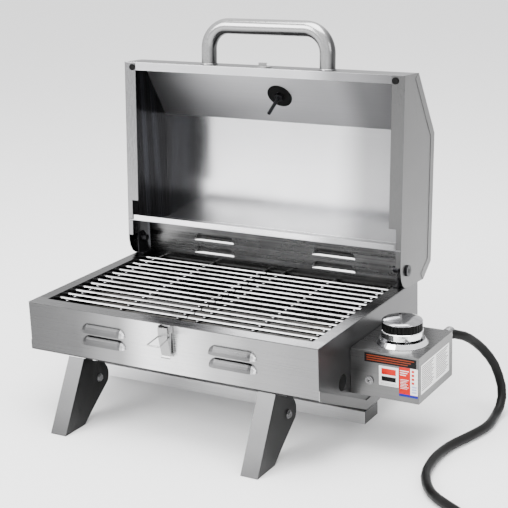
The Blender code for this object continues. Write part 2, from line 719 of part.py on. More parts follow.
def latch():
    """Toggle latch: riveted base with a pin, channel lever and wire bail."""
    y = FRONT_Y
    z = FRONT_BOTTOM_Z
    base = part("latch_base", box(
        LATCH_X - 0.0085, LATCH_X + 0.0085, y - GAP - SHEET, y - GAP, z + 0.0280, z + 0.0735
    ))
    for side in (-1, 1):
        low, high = sorted((LATCH_X + side * 0.0083, LATCH_X + side * 0.0093))
        join(base, box(low, high, y - 0.0115, y - 0.0008, z + 0.0660, z + 0.0765))
    join(base, rod("X", LATCH_PIN, 0.0012, LATCH_X - 0.0092, LATCH_X + 0.0092, 12))
    pin_y, pin_z = LATCH_PIN
    outer = [
        (-0.0145, 0.0600), (-0.0075, 0.0300), (-0.0100, 0.0265), (-0.0062, 0.0310),
        (-0.0055, 0.0450), (-0.0030, 0.0640), (-0.0030, 0.0745), (-0.0145, 0.0745),
    ]
    lever = part("latch_lever", prism(
        "X", [(y + v - pin_y, z + w - pin_z) for v, w in outer], -0.0080, 0.0080
    ), origin=(LATCH_X, pin_y, pin_z))
    inner = [(-0.0135, 0.0601), (-0.0066, 0.0305), (0.0050, 0.0305), (0.0050, 0.0800), (-0.0135, 0.0800)]
    cut(lever, prism("X", [(y + v - pin_y, z + w - pin_z) for v, w in inner], -0.0070, 0.0070))
    cut(lever, rod("X", (0, 0), 0.0014, -0.02, 0.02, 12))
    bail_y, bail_z = BAIL_PIVOT
    cut(lever, rod("X", (bail_y - pin_y, bail_z - pin_z), 0.0014, -0.02, 0.02, 12))
    tip = (-0.0302, -0.0046)
    corners = [
        (-0.0060, 0, 0), (-0.0108, 0, 0), (-0.0108, *tip), (0.0108, *tip), (0.0108, 0, 0), (0.0060, 0, 0),
    ]
    part("latch_bail", wire(rounded_path(corners, 0.0022, 4), 0.0011), origin=(LATCH_X, bail_y, bail_z))


# ---------------------------------------------------------------- lid
LID_ORIGIN = (BODY_X, HINGE_Y, HINGE_Z)
LID_WRAP = [
    (LID_FRONT, LID_RIM), (LID_FRONT, LID_LIP_TOP), (LID_FOLD, LID_TOP),
    (LID_BACK_TOP, LID_TOP), (LID_BACK_RIM, LID_RIM),
]
HANDLE_X = 0.0047
HANDLE_HALF = 0.1066
HANDLE_Y = -0.3616
HANDLE_Z = 0.0005
HANDLE_R = 0.0125
GAUGE = (-0.0050, -0.2491, 0.0606)
GAUGE_TILT = math.radians(34.7)


def lid_part(name, bm, **looks):
    """Sub-part given in the closed lid's frame, shown with the lid open."""
    return part(name, bm, origin=LID_ORIGIN, turn=-LID_OPEN, **looks)


def lid_shell():
    """Folded front, slope, top and rear of the lid with inturned rims."""
    shell = lid_part("lid_shell", prism("X", sheet(LID_WRAP, SHEET), -HALF_W, HALF_W), roughness=0.18)
    low = LID_RIM + 0.0001
    high = LID_RIM + SHEET
    join(shell, box(-0.2300, 0.2300, LID_FRONT + 0.0005, LID_FRONT + 0.0130, low, high))
    join(shell, box(-0.2400, 0.2400, LID_BACK_RIM - 0.0090, LID_BACK_RIM - 0.0005, low, high))
    for side in (-1, 1):
        centre = (HANDLE_X + side * HANDLE_HALF, HANDLE_Z)
        cut(shell, rod("Y", centre, 0.0023, LID_FRONT - 0.01, LID_FRONT + 0.01, 12))
    gauge_hole = rod("Z", (0, 0), 0.0033, -0.01, 0.01, 16)
    bmesh.ops.transform(gauge_hole, matrix=Matrix.Rotation(GAUGE_TILT, 4, "X"), verts=gauge_hole.verts)
    bmesh.ops.translate(gauge_hole, vec=Vector(GAUGE), verts=gauge_hole.verts)
    cut(shell, gauge_hole)


def lid_side(side, name):
    """Side plate of the lid with a hemmed edge, a rim flange and the hinge hole."""
    edge = [(LID_FRONT, LID_LIP_TOP), (LID_FOLD, LID_TOP), (0.0034, LID_TOP), (0.0276, 0.0635)]
    outline = [(LID_FRONT, LID_RIM)] + edge + [(0.0274, 0.0040)] + [
        (0.0264, -0.0065), (0.0214, -0.0145), (0.0115, -0.0210), (0.0, -0.0240), (-0.0075, LID_RIM),
    ]
    inner = side * (HALF_W + GAP)
    outer = side * (HALF_W + GAP + SHEET)
    plate = lid_part(name, prism("X", outline, *sorted((inner, outer))), roughness=0.2)
    join(plate, prism("X", sheet(edge, 0.0135), *sorted((outer - side * 0.0004, outer + side * 0.0007))))
    flanges = (
        (0.2303, LID_FRONT + 0.0014, -0.0681), (0.2423, -0.0690, -0.0358), (0.2423, -0.0332, -0.0080),
    )
    for reach, y0, y1 in flanges:
        low, high = sorted((side * reach, outer - side * 0.0005))
        join(plate, box(low, high, y0, y1, LID_RIM + 0.0001, LID_RIM + SHEET))
    cut(plate, rod("X", (0, 0), BOLT_R + 0.0003, -0.4, 0.4))


def lid_bumper(side, name):
    """Rubber button on one front corner of the lid rim."""
    button = rod("Z", (side * 0.2360, -0.2915), 0.0052, LID_RIM - 0.0017, LID_RIM - GAP, 20)
    lid_part(name, button, colour=DARK, roughness=0.7, metallic=0.0)


def lid_latch_catch():
    """Hooked catch on the lid that the wire bail pulls down."""
    x = LATCH_X - BODY_X
    front = LID_FRONT - GAP
    plate = box(x - 0.0070, x + 0.0070, front - 0.0012, front, LID_RIM + 0.0015, 0.0010)
    catch = lid_part("lid_catch", plate)
    join(catch, box(x - 0.0070, x + 0.0070, front - 0.0080, front - 0.0006, -0.0167, -0.0155))
    join(catch, box(x - 0.0070, x + 0.0070, front - 0.0080, front - 0.0070, -0.0161, -0.0134))


def lid_handle():
    """Tubular handle bent at both ends, with the screws that hold it from inside the lid."""
    front = LID_FRONT - GAP
    left = HANDLE_X - HANDLE_HALF
    right = HANDLE_X + HANDLE_HALF
    path = rounded_path([
        (left, front, HANDLE_Z), (left, HANDLE_Y, HANDLE_Z),
        (right, HANDLE_Y, HANDLE_Z), (right, front, HANDLE_Z),
    ], 0.037, 8)
    handle = lid_part("lid_handle", wire(path, HANDLE_R, 4), roughness=0.25)
    for x, name in ((left, "left_handle_screw"), (right, "right_handle_screw")):
        cut(handle, rod("Y", (x, HANDLE_Z), 0.0023, front - 0.0120, front + 0.01, 12))
        screw = lid_part(name, rod("Y", (x, HANDLE_Z), 0.0020, front - 0.0100, LID_FRONT + 0.0020, 12))
        join(screw, rod("Y", (x, HANDLE_Z), 0.0050, LID_FRONT + SHEET + GAP, LID_FRONT + 0.0040, 20))


def gauge_part(name, bm, **looks):
    """Sub-part of the thermometer; its own Z axis points out of the lid."""
    place = Matrix.Rotation(-LID_OPEN, 3, "X") @ Vector(GAUGE) + Vector(LID_ORIGIN)
    return part(name, bm, origin=place, turn=GAUGE_TILT - LID_OPEN, **looks)


def thermometer():
    """Gauge through the lid: case, dial and needle outside, disc, nut and probe inside."""
    case = gauge_part("thermometer_case", rod("Z", (0, 0), 0.0260, GAP, 0.0105, 48), roughness=0.2)
    cut(case, rod("Z", (0, 0), 0.0245, 0.0020, 0.02, 48))
    cut(case, rod("Z", (0, 0), 0.0033, -0.01, 0.02, 16))
    white = {"colour": (0.85, 0.85, 0.85), "roughness": 0.5, "metallic": 0.0}
    red = {"colour": (0.6, 0.05, 0.05), "roughness": 0.4, "metallic": 0.0}
    black = {"colour": DARK, "roughness": 0.5, "metallic": 0.0}
    gauge_part("thermometer_dial", rod("Z", (0, 0), 0.0242, 0.0032, 0.0038, 48), **white)
    pointer = prism("Z", [(-0.0009, -0.006), (0.0009, -0.006), (0.0, 0.019)], 0.0047, 0.0053)
    needle = gauge_part("thermometer_needle", pointer, **red)
    join(needle, rod("Z", (0, 0), 0.0022, 0.0041, 0.0059, 16))
    inside = -SHEET - GAP
    disc = gauge_part("thermometer_disc", rod("Z", (0, 0), 0.0215, inside - 0.0010, inside, 48), **black)
    cut(disc, rod("Z", (0, 0), 0.0033, -0.01, 0.02, 16))
    hexagon = rod("Z", (0, 0), 0.0081, -0.0076, -0.0026, 6)
    nut = gauge_part("thermometer_nut", hexagon, colour=(0.4, 0.4, 0.4))
    cut(nut, rod("Z", (0, 0), 0.0033, -0.01, 0.02, 16))
    gauge_part("thermometer_probe", rod("Z", (0, 0), 0.0030, -0.0450, 0.0025, 16), roughness=0.3)


# ---------------------------------------------------------------- gas hose
HOSE_LOOKS = {"colour": (0.02, 0.02, 0.02), "roughness": 0.55, "metallic": 0.0}
HOSE_Z = 0.0072
COIL_X = 0.4550
COIL_Y = -0.3250
COIL_R = 0.0800
COIL_LEAD = 0.0500
COIL_TURNS = 1.30
ENTRY_DEG = 58.8
LAYER = 0.0143
TAIL_END = 0.1854
NUT_R = 0.0208
HOSE_ROUTE = [
    (0.2860, 0.0716, 0.1380), (0.2860, 0.0790, 0.1380), (0.3013, 0.0910, 0.1336),
    (0.3067, 0.1100, 0.1233), (0.3145, 0.1260, 0.1095), (0.3237, 0.1380, 0.0936),
    (0.3328, 0.1460, 0.0756), (0.3388, 0.1495, 0.0592), (0.3474, 0.1446, 0.0372),
    (0.3518, 0.1309, 0.0194), (0.3514, 0.1153, 0.0103), (0.3526, 0.0975, 0.0072),
    (0.3539, 0.0615, 0.0072), (0.3430, 0.0178, 0.0072), (0.3310, -0.0214, 0.0072),
    (0.3263, -0.0631, 0.0072), (0.3305, -0.1052, 0.0072), (0.3394, -0.1342, 0.0072),
    (0.3584, -0.1661, 0.0072), (0.3787, -0.1848, 0.0072),
    (0.3986, -0.1973, 0.0072), (0.4262, -0.2140, 0.0072),
]


def coil_point(degrees):
    """Point on the middle line of the coil at floor level."""
    angle = math.radians(degrees)
    return Vector((COIL_X + COIL_R * math.cos(angle), COIL_Y + COIL_R * math.sin(angle), HOSE_Z))


def coil_heading(degrees):
    """Direction of travel round the coil, clockwise seen from above."""
    angle = math.radians(degrees - 90)
    return Vector((math.cos(angle), math.sin(angle), 0.0))


def along_exit(bm):
    """Move a shape built along +X so that it lies along the hose where it leaves the coil."""
    degrees = ENTRY_DEG - 360 * COIL_TURNS
    start_point = coil_point(degrees)
    turn = Matrix.Rotation(math.radians(degrees - 90), 4, "Z")
    lift = Matrix.Translation((start_point.x, start_point.y, 0.0))
    bmesh.ops.transform(bm, matrix=lift @ turn, verts=bm.verts)
    return bm


def hose():
    """Hose from the box to the coil."""
    entry = coil_point(ENTRY_DEG)
    heading = coil_heading(ENTRY_DEG)
    route = [Vector(point) for point in HOSE_ROUTE] + [entry - heading * (COIL_LEAD + GAP)]
    path = smooth_path(route, 0.018)
    path.insert(1, path[0] + (route[1] - route[0]).normalized() * 0.003)
    path.insert(-1, path[-1] - heading * 0.003)
    part("hose", wire(path, HOSE_R), **HOSE_LOOKS)


def hose_coil():
    """Coil of the spare length as a turned ring, with a straight lead in and out, then the tail."""
    entry = coil_point(ENTRY_DEG)
    heading = coil_heading(ENTRY_DEG)
    centre = Vector((COIL_X, COIL_Y, 0.0))
    top = HOSE_Z + LAYER + HOSE_R
    ring = turned("hose_coil", [
        (COIL_R + 0.0072, 0.0240), (COIL_R + 0.0072, 0.0045), (COIL_R + 0.0045, 0.0003),
        (COIL_R - 0.0045, 0.0003), (COIL_R - 0.0072, 0.0045), (COIL_R - 0.0072, 0.0240),
        (COIL_R - 0.0045, top), (COIL_R + 0.0045, top), (COIL_R + 0.0072, 0.0240),
    ], 40, (0.02, 0.02, 0.02), 0.55, 0.0, centre)
    join(ring, wire([entry - heading * COIL_LEAD - centre, entry - centre], HOSE_R))
    z = HOSE_Z + LAYER
    leaving = along_exit(wire([(0, 0, z), (COIL_LEAD, 0, z)], HOSE_R))
    bmesh.ops.translate(leaving, vec=-centre, verts=leaving.verts)
    join(ring, leaving)
    part("hose_tail", along_exit(wire([(COIL_LEAD + GAP, 0, z), (TAIL_END, 0, z)], HOSE_R)), **HOSE_LOOKS)


def regulator():
    """Regulator with its round diaphragm housing, and the cylinder nut."""
    z = HOSE_Z + LAYER
    boss = TAIL_END + GAP
    disc = boss + 0.0380
    body = part("regulator", along_exit(rod("X", (0, z), 0.0085, boss, disc, 20)), (0.45, 0.45, 0.46), 0.45)
    join(body, along_exit(rod("Z", (disc, 0), 0.0240, z - 0.0130, z + 0.0140, 32)))
    join(body, along_exit(rod("X", (0, z), 0.0100, disc, disc + 0.0300, 20)))
    grip = along_exit(rod("X", (0, z), NUT_R, disc + 0.0303, disc + 0.0620, 24))
    nut = part("cylinder_nut", grip, DARK, 0.5, 0.0)
    cut(nut, along_exit(rod("X", (0, z), 0.0140, disc + 0.0420, disc + 0.0800, 24)))


def firebox():
    """All fixed panels of the firebox."""
    front_panel()
    rear_wall()
    side_panel(-1, "left_side_panel")
    side_panel(1, "right_side_panel")
    top_rim()
    tray_runner(-1, "front_tray_rail")
    tray_runner(1, "rear_tray_rail")
    for side, column in ((-1, "left"), (1, "right")):
        hinge_ear(side, f"{column}_hinge_ear")
        hinge_bolt(side, f"{column}_hinge_bolt")


def lid():
    """The open lid and everything on it."""
    lid_shell()
    lid_side(-1, "lid_left_side")
    lid_side(1, "lid_right_side")
    lid_bumper(-1, "left_bumper")
    lid_bumper(1, "right_bumper")
    lid_latch_catch()
    lid_handle()
    thermometer()


firebox()
grease_tray()
legs(bottom_pan())
grate(BODY_X - 0.2300, BODY_X + 0.0070, "left_grate")
grate(BODY_X + 0.0095, BODY_X + 0.2300, "right_grate")
burner()
control_box()
gas_valve()
knob()
latch()
lid()
hose()
hose_coil()
regulator()
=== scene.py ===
"""Looks of the portable tabletop gas grill: steel sheet, wire grates, knob, labels, gas hose and studio."""

import json
import math

import bmesh
import bpy
from mathutils import Matrix, Vector


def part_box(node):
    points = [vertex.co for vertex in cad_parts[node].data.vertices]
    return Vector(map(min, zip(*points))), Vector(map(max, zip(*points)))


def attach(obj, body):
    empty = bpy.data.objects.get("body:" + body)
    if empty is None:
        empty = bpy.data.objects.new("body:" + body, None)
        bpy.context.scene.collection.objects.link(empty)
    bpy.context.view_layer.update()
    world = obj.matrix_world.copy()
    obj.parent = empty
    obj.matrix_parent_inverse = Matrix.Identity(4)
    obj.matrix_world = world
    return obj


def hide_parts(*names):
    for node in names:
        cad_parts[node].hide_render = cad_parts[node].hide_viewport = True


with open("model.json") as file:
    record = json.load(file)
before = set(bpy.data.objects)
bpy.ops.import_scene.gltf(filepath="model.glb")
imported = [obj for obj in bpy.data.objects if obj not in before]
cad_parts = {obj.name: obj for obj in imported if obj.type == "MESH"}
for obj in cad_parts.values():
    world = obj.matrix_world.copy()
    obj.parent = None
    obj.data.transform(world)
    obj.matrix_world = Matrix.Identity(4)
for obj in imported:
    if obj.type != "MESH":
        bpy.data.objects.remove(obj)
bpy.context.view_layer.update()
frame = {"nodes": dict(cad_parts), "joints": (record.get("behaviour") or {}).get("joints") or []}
NODES = frame["nodes"]
JOINTS = {joint["name"]: joint for joint in frame["joints"]}
ROOT = "firebox"


# ---------------------------------------------------------------- camera
CAMERA_PLACE = (0.9768, -1.6573, 0.8182)
CAMERA_AZIMUTH = 30.46
CAMERA_ELEVATION = 16.47
CAMERA_ROLL = -2.10
CAMERA_LENS = 93.52


def add_camera():
    """Camera at the photograph's viewing angle: from the right, the front and above."""
    azimuth = math.radians(CAMERA_AZIMUTH)
    elevation = math.radians(CAMERA_ELEVATION)
    roll = math.radians(CAMERA_ROLL)
    back = Vector((
        math.sin(azimuth) * math.cos(elevation),
        -math.cos(azimuth) * math.cos(elevation),
        math.sin(elevation),
    ))
    right = (-back).cross(Vector((0, 0, 1))).normalized()
    up = right.cross(-back)
    turned_right = right * math.cos(roll) + up * math.sin(roll)
    turned_up = up * math.cos(roll) - right * math.sin(roll)
    data = bpy.data.cameras.new("camera")
    data.sensor_width = 36.0
    data.lens = CAMERA_LENS
    data.clip_start = 0.05
    camera = bpy.data.objects.new("camera", data)
    bpy.context.scene.collection.objects.link(camera)
    axes = Matrix((turned_right, turned_up, back)).transposed().to_4x4()
    camera.matrix_world = Matrix.Translation(CAMERA_PLACE) @ axes
    bpy.context.scene.camera = camera


# ---------------------------------------------------------------- node helpers
class Shader:
    """A Principled material and short calls for the nodes that feed it."""

    def __init__(self, name, colour=(0.8, 0.8, 0.8), roughness=0.4, metallic=0.0, **fixed):
        self.material = bpy.data.materials.new(name)
        self.material.use_nodes = True
        self.tree = self.material.node_tree
        self.surface = self.tree.nodes["Principled BSDF"]
        self.surface.inputs["Base Color"].default_value = (*colour, 1.0)
        self.surface.inputs["Roughness"].default_value = roughness
        self.surface.inputs["Metallic"].default_value = metallic
        for socket, value in fixed.items():
            self.surface.inputs[socket.replace("_", " ")].default_value = value
        self.place = self.node("ShaderNodeTexCoord").outputs["Object"]

    def node(self, kind, **settings):
        """New node with some of its properties set."""
        made = self.tree.nodes.new(kind)
        for key, value in settings.items():
            setattr(made, key, value)
        return made

    def link(self, source, target):
        """Wire one socket to another."""
        self.tree.links.new(source, target)

    def stretched(self, scale):
        """Object coordinates scaled separately along each axis."""
        mapping = self.node("ShaderNodeMapping")
        mapping.inputs["Scale"].default_value = scale
        self.link(self.place, mapping.inputs["Vector"])
        return mapping.outputs["Vector"]

    def noise(self, scale, stretch=(1, 1, 1), detail=3.0, roughness=0.5):
        """Noise from 0 to 1, its coordinates scaled along each axis."""
        made = self.node("ShaderNodeTexNoise")
        made.inputs["Scale"].default_value = scale
        made.inputs["Detail"].default_value = detail
        made.inputs["Roughness"].default_value = roughness
        self.link(self.stretched(stretch), made.inputs["Vector"])
        return made.outputs["Fac"]

    def ramp(self, value, low, high, to_low, to_high):
        """Value mapped from one range to another, clamped."""
        made = self.node("ShaderNodeMapRange")
        for socket, number in zip(("From Min", "From Max", "To Min", "To Max"), (low, high, to_low, to_high)):
            made.inputs[socket].default_value = number
        self.link(value, made.inputs["Value"])
        return made.outputs["Result"]

    def math(self, operation, first, second=0.0):
        """Result of an operation; each operand is a number or a socket."""
        made = self.node("ShaderNodeMath", operation=operation)
        for socket, value in zip(made.inputs, (first, second)):
            if isinstance(value, (int, float)):
                socket.default_value = value
            else:
                self.link(value, socket)
        return made.outputs["Value"]

    def mix(self, share, first, second):
        """Blend of two colours; each is a tuple or a socket."""
        made = self.node("ShaderNodeMix", data_type="RGBA")
        self.link(share, made.inputs["Factor"])
        for socket, value in ((made.inputs[6], first), (made.inputs[7], second)):
            if isinstance(value, tuple):
                socket.default_value = (*value, 1.0)
            else:
                self.link(value, socket)
        return made.outputs[2]

    def axis(self, letter, output="Object"):
        """One coordinate of the place, or of the normal."""
        split = self.node("ShaderNodeSeparateXYZ")
        source = self.place
        if output == "Normal":
            source = self.node("ShaderNodeTexCoord").outputs["Normal"]
        self.link(source, split.inputs[0])
        return split.outputs[letter]

    def profile(self, letter, stops):
        """Grey tone that changes along an object axis; stops are (place, tone) pairs."""
        start = stops[0][0]
        reach = stops[-1][0] - start
        share = self.ramp(self.axis(letter), start, start + reach, 0.0, 1.0)
        made = self.node("ShaderNodeValToRGB")
        made.color_ramp.interpolation = "EASE"
        elements = made.color_ramp.elements
        while len(elements) < len(stops):
            elements.new(0.5)
        for element, (place, tone) in zip(elements, stops):
            element.position = (place - start) / reach
            element.color = (tone, tone, tone * 1.01, 1.0)
        self.link(share, made.inputs["Fac"])
        return made.outputs["Color"]

    def times(self, first, second):
        """Product of two colours."""
        made = self.node("ShaderNodeMix", data_type="RGBA", blend_type="MULTIPLY")
        made.inputs["Factor"].default_value = 1.0
        self.link(first, made.inputs[6])
        self.link(second, made.inputs[7])
        return made.outputs[2]

    def blotches(self, value, low, high, first, second):
        """Two colours, one giving way to the other as a value goes from low to high."""
        return self.mix(self.ramp(value, low, high, 0.0, 1.0), first, second)

    def facing(self, letter, low=0.6, high=0.8):
        """One where the surface looks along the positive axis, nought elsewhere."""
        return self.ramp(self.axis(letter, "Normal"), low, high, 0.0, 1.0)

    def within(self, letter, low, high):
        """One between two places along an axis, nought elsewhere."""
        above = self.math("GREATER_THAN", self.axis(letter), low)
        return self.math("MULTIPLY", above, self.math("LESS_THAN", self.axis(letter), high))

    def colour(self, source):
        """Feed the base colour."""
        self.link(source, self.surface.inputs["Base Color"])

    def rough(self, source):
        """Feed the roughness."""
        self.link(source, self.surface.inputs["Roughness"])

    def bump(self, height, distance, strength=1.0, edge=0.0):
        """Bump from a height; edge rounds the corners' shading by that radius."""
        made = self.node("ShaderNodeBump")
        made.inputs["Distance"].default_value = distance
        made.inputs["Strength"].default_value = strength
        self.link(height, made.inputs["Height"])
        if edge:
            rounder = self.node("ShaderNodeBevel", samples=4)
            rounder.inputs["Radius"].default_value = edge
            self.link(rounder.outputs["Normal"], made.inputs["Normal"])
        self.link(made.outputs["Normal"], self.surface.inputs["Normal"])


# Grate ledge's height, and the front panel's face: its louvre hoods stand in front of that
LEDGE_Z = 0.1725
FRONT_FACE_Y = -0.1714
# Noise scales of the brushing along each axis
GRAIN = {"X": (4.0, 1500.0, 1500.0), "Y": (1500.0, 4.0, 1500.0), "Z": (1500.0, 1500.0, 4.0)}


def steel(name, grain, shade, roughness, side=None, top=None, light_and_shade_profiles=(), contrast=1.0, dark=None,
          louvres=None):
    """Brushed stainless sheet.

    side and top are painted light and shade: the levels of faces that look along +-X and up.
    The axis profiles are (axis, stops) pairs of painted light and shade. dark is (low, high, tone):
    painted shade on faces that look up between these heights. Faces in front of the Y place louvres
    are the louvre hoods: painted shade, with a painted highlight on their right ends."""
    made = Shader(name, (shade, shade, shade * 1.01), roughness, 1.0)
    grain_lines = made.noise(1.0, GRAIN[grain], detail=4.0, roughness=0.65)
    smudges = made.noise(9.0, detail=4.0)

    def brushed(base, low, high):
        return made.blotches(grain_lines, 0.35, 0.65, (base * low,) * 3, (base * high,) * 3)

    tone = brushed(shade, 1.0 - 0.08 * contrast, 1.0 + 0.06 * contrast)
    # Gradients along object axes: painted light and shade.
    for letter, stops in light_and_shade_profiles:
        tone = made.times(tone, made.profile(letter, stops))
    # Faces that look along +-X get their own tone: painted light and shade.
    if side is not None:
        edgewise = made.math("ABSOLUTE", made.axis("X", "Normal"))
        tone = made.blotches(edgewise, 0.6, 0.8, tone, brushed(side, 0.88, 1.1))
    # Faces that look up get their own tone: painted light and shade.
    if top is not None:
        tone = made.mix(made.facing("Z"), tone, brushed(top, 0.88, 1.1))
    if louvres is not None:
        # Louvre hoods: painted shade, with a painted highlight on their ends that look towards +X.
        louvre_hood_shade = made.math("LESS_THAN", made.axis("Y"), louvres)
        tone = made.mix(made.math("MULTIPLY", louvre_hood_shade, 0.62), tone, (0.03, 0.03, 0.031))
        hood_end_highlight = made.math("MULTIPLY", louvre_hood_shade, made.facing("X", 0.35, 0.6))
        tone = made.mix(hood_end_highlight, tone, (0.85, 0.85, 0.86))
    if dark is not None:
        # Faces that look up between two heights: blotchy painted shade.
        start, end, painted_shade_level = dark
        shade_blotches = made.noise(60.0, detail=5.0)
        painted_shade_colour = made.blotches(shade_blotches, 0.3, 0.7, (painted_shade_level * 0.6,) * 3, (painted_shade_level * 1.5,) * 3)
        where = made.math("MULTIPLY", made.within("Z", start, end), made.facing("Z", 0.2, 0.4))
        tone = made.mix(where, tone, painted_shade_colour)
    made.colour(made.mix(made.ramp(smudges, 0.5, 0.8, 0.0, 0.12 * contrast), tone, (shade * 0.6,) * 3))
    uneven = made.ramp(smudges, 0.3, 0.7, roughness - 0.025, roughness + 0.05)
    made.rough(made.math("ADD", uneven, made.ramp(grain_lines, 0.3, 0.7, -0.03, 0.05)))
    made.bump(grain_lines, 0.00003, 0.4 * contrast, 0.0006)
    return made.material


def lid_steel():
    """Lid sheet: nearly polished inside, duller on the slope above the fold. Painted light and shade:
    bright in the middle, dark at the right end and on faces that look up with the lid closed.
    """
    made = Shader("lid_steel", (0.6, 0.6, 0.61), 0.2, 1.0)
    grain = made.noise(1.0, GRAIN["X"], detail=4.0, roughness=0.65)
    smudges = made.noise(9.0, detail=4.0)
    tone = made.blotches(grain, 0.35, 0.65, (0.60, 0.60, 0.605), (0.64, 0.64, 0.65))
    # Painted light and shade: bright across the middle, fading dark towards the right end.
    across = made.profile("X", [(-0.3025, 1.40), (-0.12, 1.52), (0.02, 1.50), (0.09, 0.60), (0.1975, 0.34)])
    panel = made.times(tone, across)
    along = made.profile("X", [(-0.3025, 0.75), (-0.05, 1.35), (0.04, 1.2), (0.10, 0.6), (0.1975, 0.36)])
    other = made.times(tone, along)
    slope = made.ramp(made.math("ABSOLUTE", made.axis("Z", "Normal")), 0.25, 0.35, 0.0, 1.0)
    lit = made.mix(slope, panel, other)
    # Faces that look up with the lid closed: painted shade.
    made.colour(made.mix(made.facing("Z", 0.7, 0.9), lit, (0.17, 0.17, 0.172)))
    base = made.ramp(slope, 0.0, 1.0, 0.17, 0.42)
    made.rough(made.math("ADD", base, made.ramp(smudges, 0.3, 0.7, -0.02, 0.06)))
    made.bump(grain, 0.00002, 0.25, 0.0006)
    return made.material


def dark_inner_steel():
    """Left side of the lid: brushed outside; glossy inside, where a near-black painted reflection with faint
    upright streaks covers it.
    """
    made = Shader("lid_left_steel", (0.5, 0.5, 0.51), 0.28, 1.0)
    grain = made.noise(1.0, GRAIN["Z"], detail=4.0)
    streaks = made.noise(1.0, (1.0, 60.0, 1.5), detail=2.0)
    # Inside face: near-black painted reflection.
    inside = made.facing("X", 0.5, 0.7)
    dark = made.blotches(streaks, 0.55, 0.70, (0.007, 0.007, 0.008), (0.022, 0.023, 0.027))
    bright = made.blotches(grain, 0.35, 0.65, (0.24, 0.24, 0.245), (0.29, 0.29, 0.295))
    made.colour(made.mix(inside, bright, dark))
    made.rough(made.ramp(grain, 0.3, 0.7, 0.2, 0.32))
    made.bump(grain, 0.00006, 0.5, 0.0006)
    return made.material


def handle_steel():
    """Brushed tube of the handle: bright along its front and top, with painted shade at its sides and
    beneath.
    """
    made = Shader("handle_steel", (0.4, 0.4, 0.4), 0.2, 1.0)
    grain = made.noise(1.0, GRAIN["X"], detail=4.0)
    tone = made.blotches(grain, 0.35, 0.65, (0.36,) * 3, (0.44,) * 3)
    # Painted shade on faces that look along +-X and on faces that look down.
    sides = made.math("ABSOLUTE", made.axis("X", "Normal"))
    tone = made.mix(made.ramp(sides, 0.45, 0.85, 0.0, 0.9), tone, (0.035, 0.035, 0.036))
    tone = made.mix(made.ramp(made.axis("Z", "Normal"), -0.5, 0.1, 0.9, 0.0), tone, (0.03, 0.03, 0.031))
    made.colour(tone)
    made.rough(made.ramp(grain, 0.3, 0.7, 0.17, 0.27))
    made.bump(grain, 0.00002, 0.3)
    return made.material


def wall_steel():
    """Sheet of the rear wall: dull and streaked along, with painted shade making it black below the grate
    ledge.
    """
    made = Shader("wall_steel", (0.2, 0.2, 0.2), 0.28, 1.0)
    streaks = made.noise(1.0, (3.0, 260.0, 260.0), detail=4.0, roughness=0.6)
    stains = made.noise(22.0, detail=5.0)
    tone = made.blotches(streaks, 0.35, 0.65, (0.09,) * 3, (0.20,) * 3)
    tone = made.mix(made.ramp(stains, 0.5, 0.8, 0.0, 0.4), tone, (0.06,) * 3)
    # Below the grate ledge: black painted shade.
    below_ledge_shade = made.math("LESS_THAN", made.axis("Z"), LEDGE_Z)
    made.colour(made.mix(below_ledge_shade, tone, (0.012, 0.012, 0.012)))
    worn = made.ramp(stains, 0.5, 0.8, 0.0, 0.12)
    made.rough(made.math("ADD", made.ramp(streaks, 0.3, 0.7, 0.22, 0.34), worn))
    made.bump(streaks, 0.00008, 0.4, 0.0006)
    return made.material


def wire_steel():
    """Drawn and polished wire of the grates, with painted shade on faces that don't look up and below the
    bars.
    """
    made = Shader("wire_steel", (0.66, 0.66, 0.67), 0.2, 1.0)
    draw = made.noise(1.0, (18.0, 600.0, 600.0), detail=3.0)
    stains = made.noise(30.0, detail=5.0)
    tone = made.mix(made.ramp(stains, 0.45, 0.75, 0.0, 0.75), (0.62, 0.62, 0.63), (0.26, 0.25, 0.24))
    # Faces that don't look up: painted shade.
    crown = made.ramp(made.axis("Z", "Normal"), 0.25, 0.85, 0.0, 1.0)
    tone = made.mix(crown, (0.09, 0.09, 0.092), tone)
    # Below the bars: painted shade on the cross wires.
    lower = made.ramp(made.axis("Z"), 0.1758, 0.1768, 1.0, 0.0)
    made.colour(made.mix(lower, tone, (0.05, 0.048, 0.046)))
    worn = made.ramp(stains, 0.5, 0.8, 0.0, 0.2)
    made.rough(made.math("ADD", made.ramp(draw, 0.3, 0.7, 0.12, 0.26), worn))
    made.bump(draw, 0.00005, 0.5)
    return made.material


def burner_steel():
    """Heat-tinted steel under the grates with patches of soot, kept dark overall as painted shade under the
    grates.
    """
    made = Shader("burner_steel", (0.3, 0.28, 0.26), 0.42, 1.0)
    tint = made.noise(14.0, (0.5, 1, 1), detail=5.0)
    soot = made.noise(45.0, detail=6.0, roughness=0.65)
    # Low overall tone: painted shade under the grates; the heat tint and soot patches are the steel's own.
    straw = made.blotches(tint, 0.4, 0.65, (0.10, 0.10, 0.10), (0.06, 0.055, 0.05))
    made.colour(made.mix(made.ramp(soot, 0.5, 0.75, 0.0, 0.8), straw, (0.02, 0.019, 0.018)))
    made.rough(made.ramp(soot, 0.35, 0.75, 0.30, 0.65))
    made.bump(soot, 0.0003, 0.3)
    return made.material


def pan_steel():
    """V-shaped bottom: brushed outside, with painted shade inside on faces that look up and on faces that
    look along +-X.
    """
    return steel("pan_steel", "X", 0.40, 0.30, side=0.10, dark=(0.0, 0.3, 0.012))


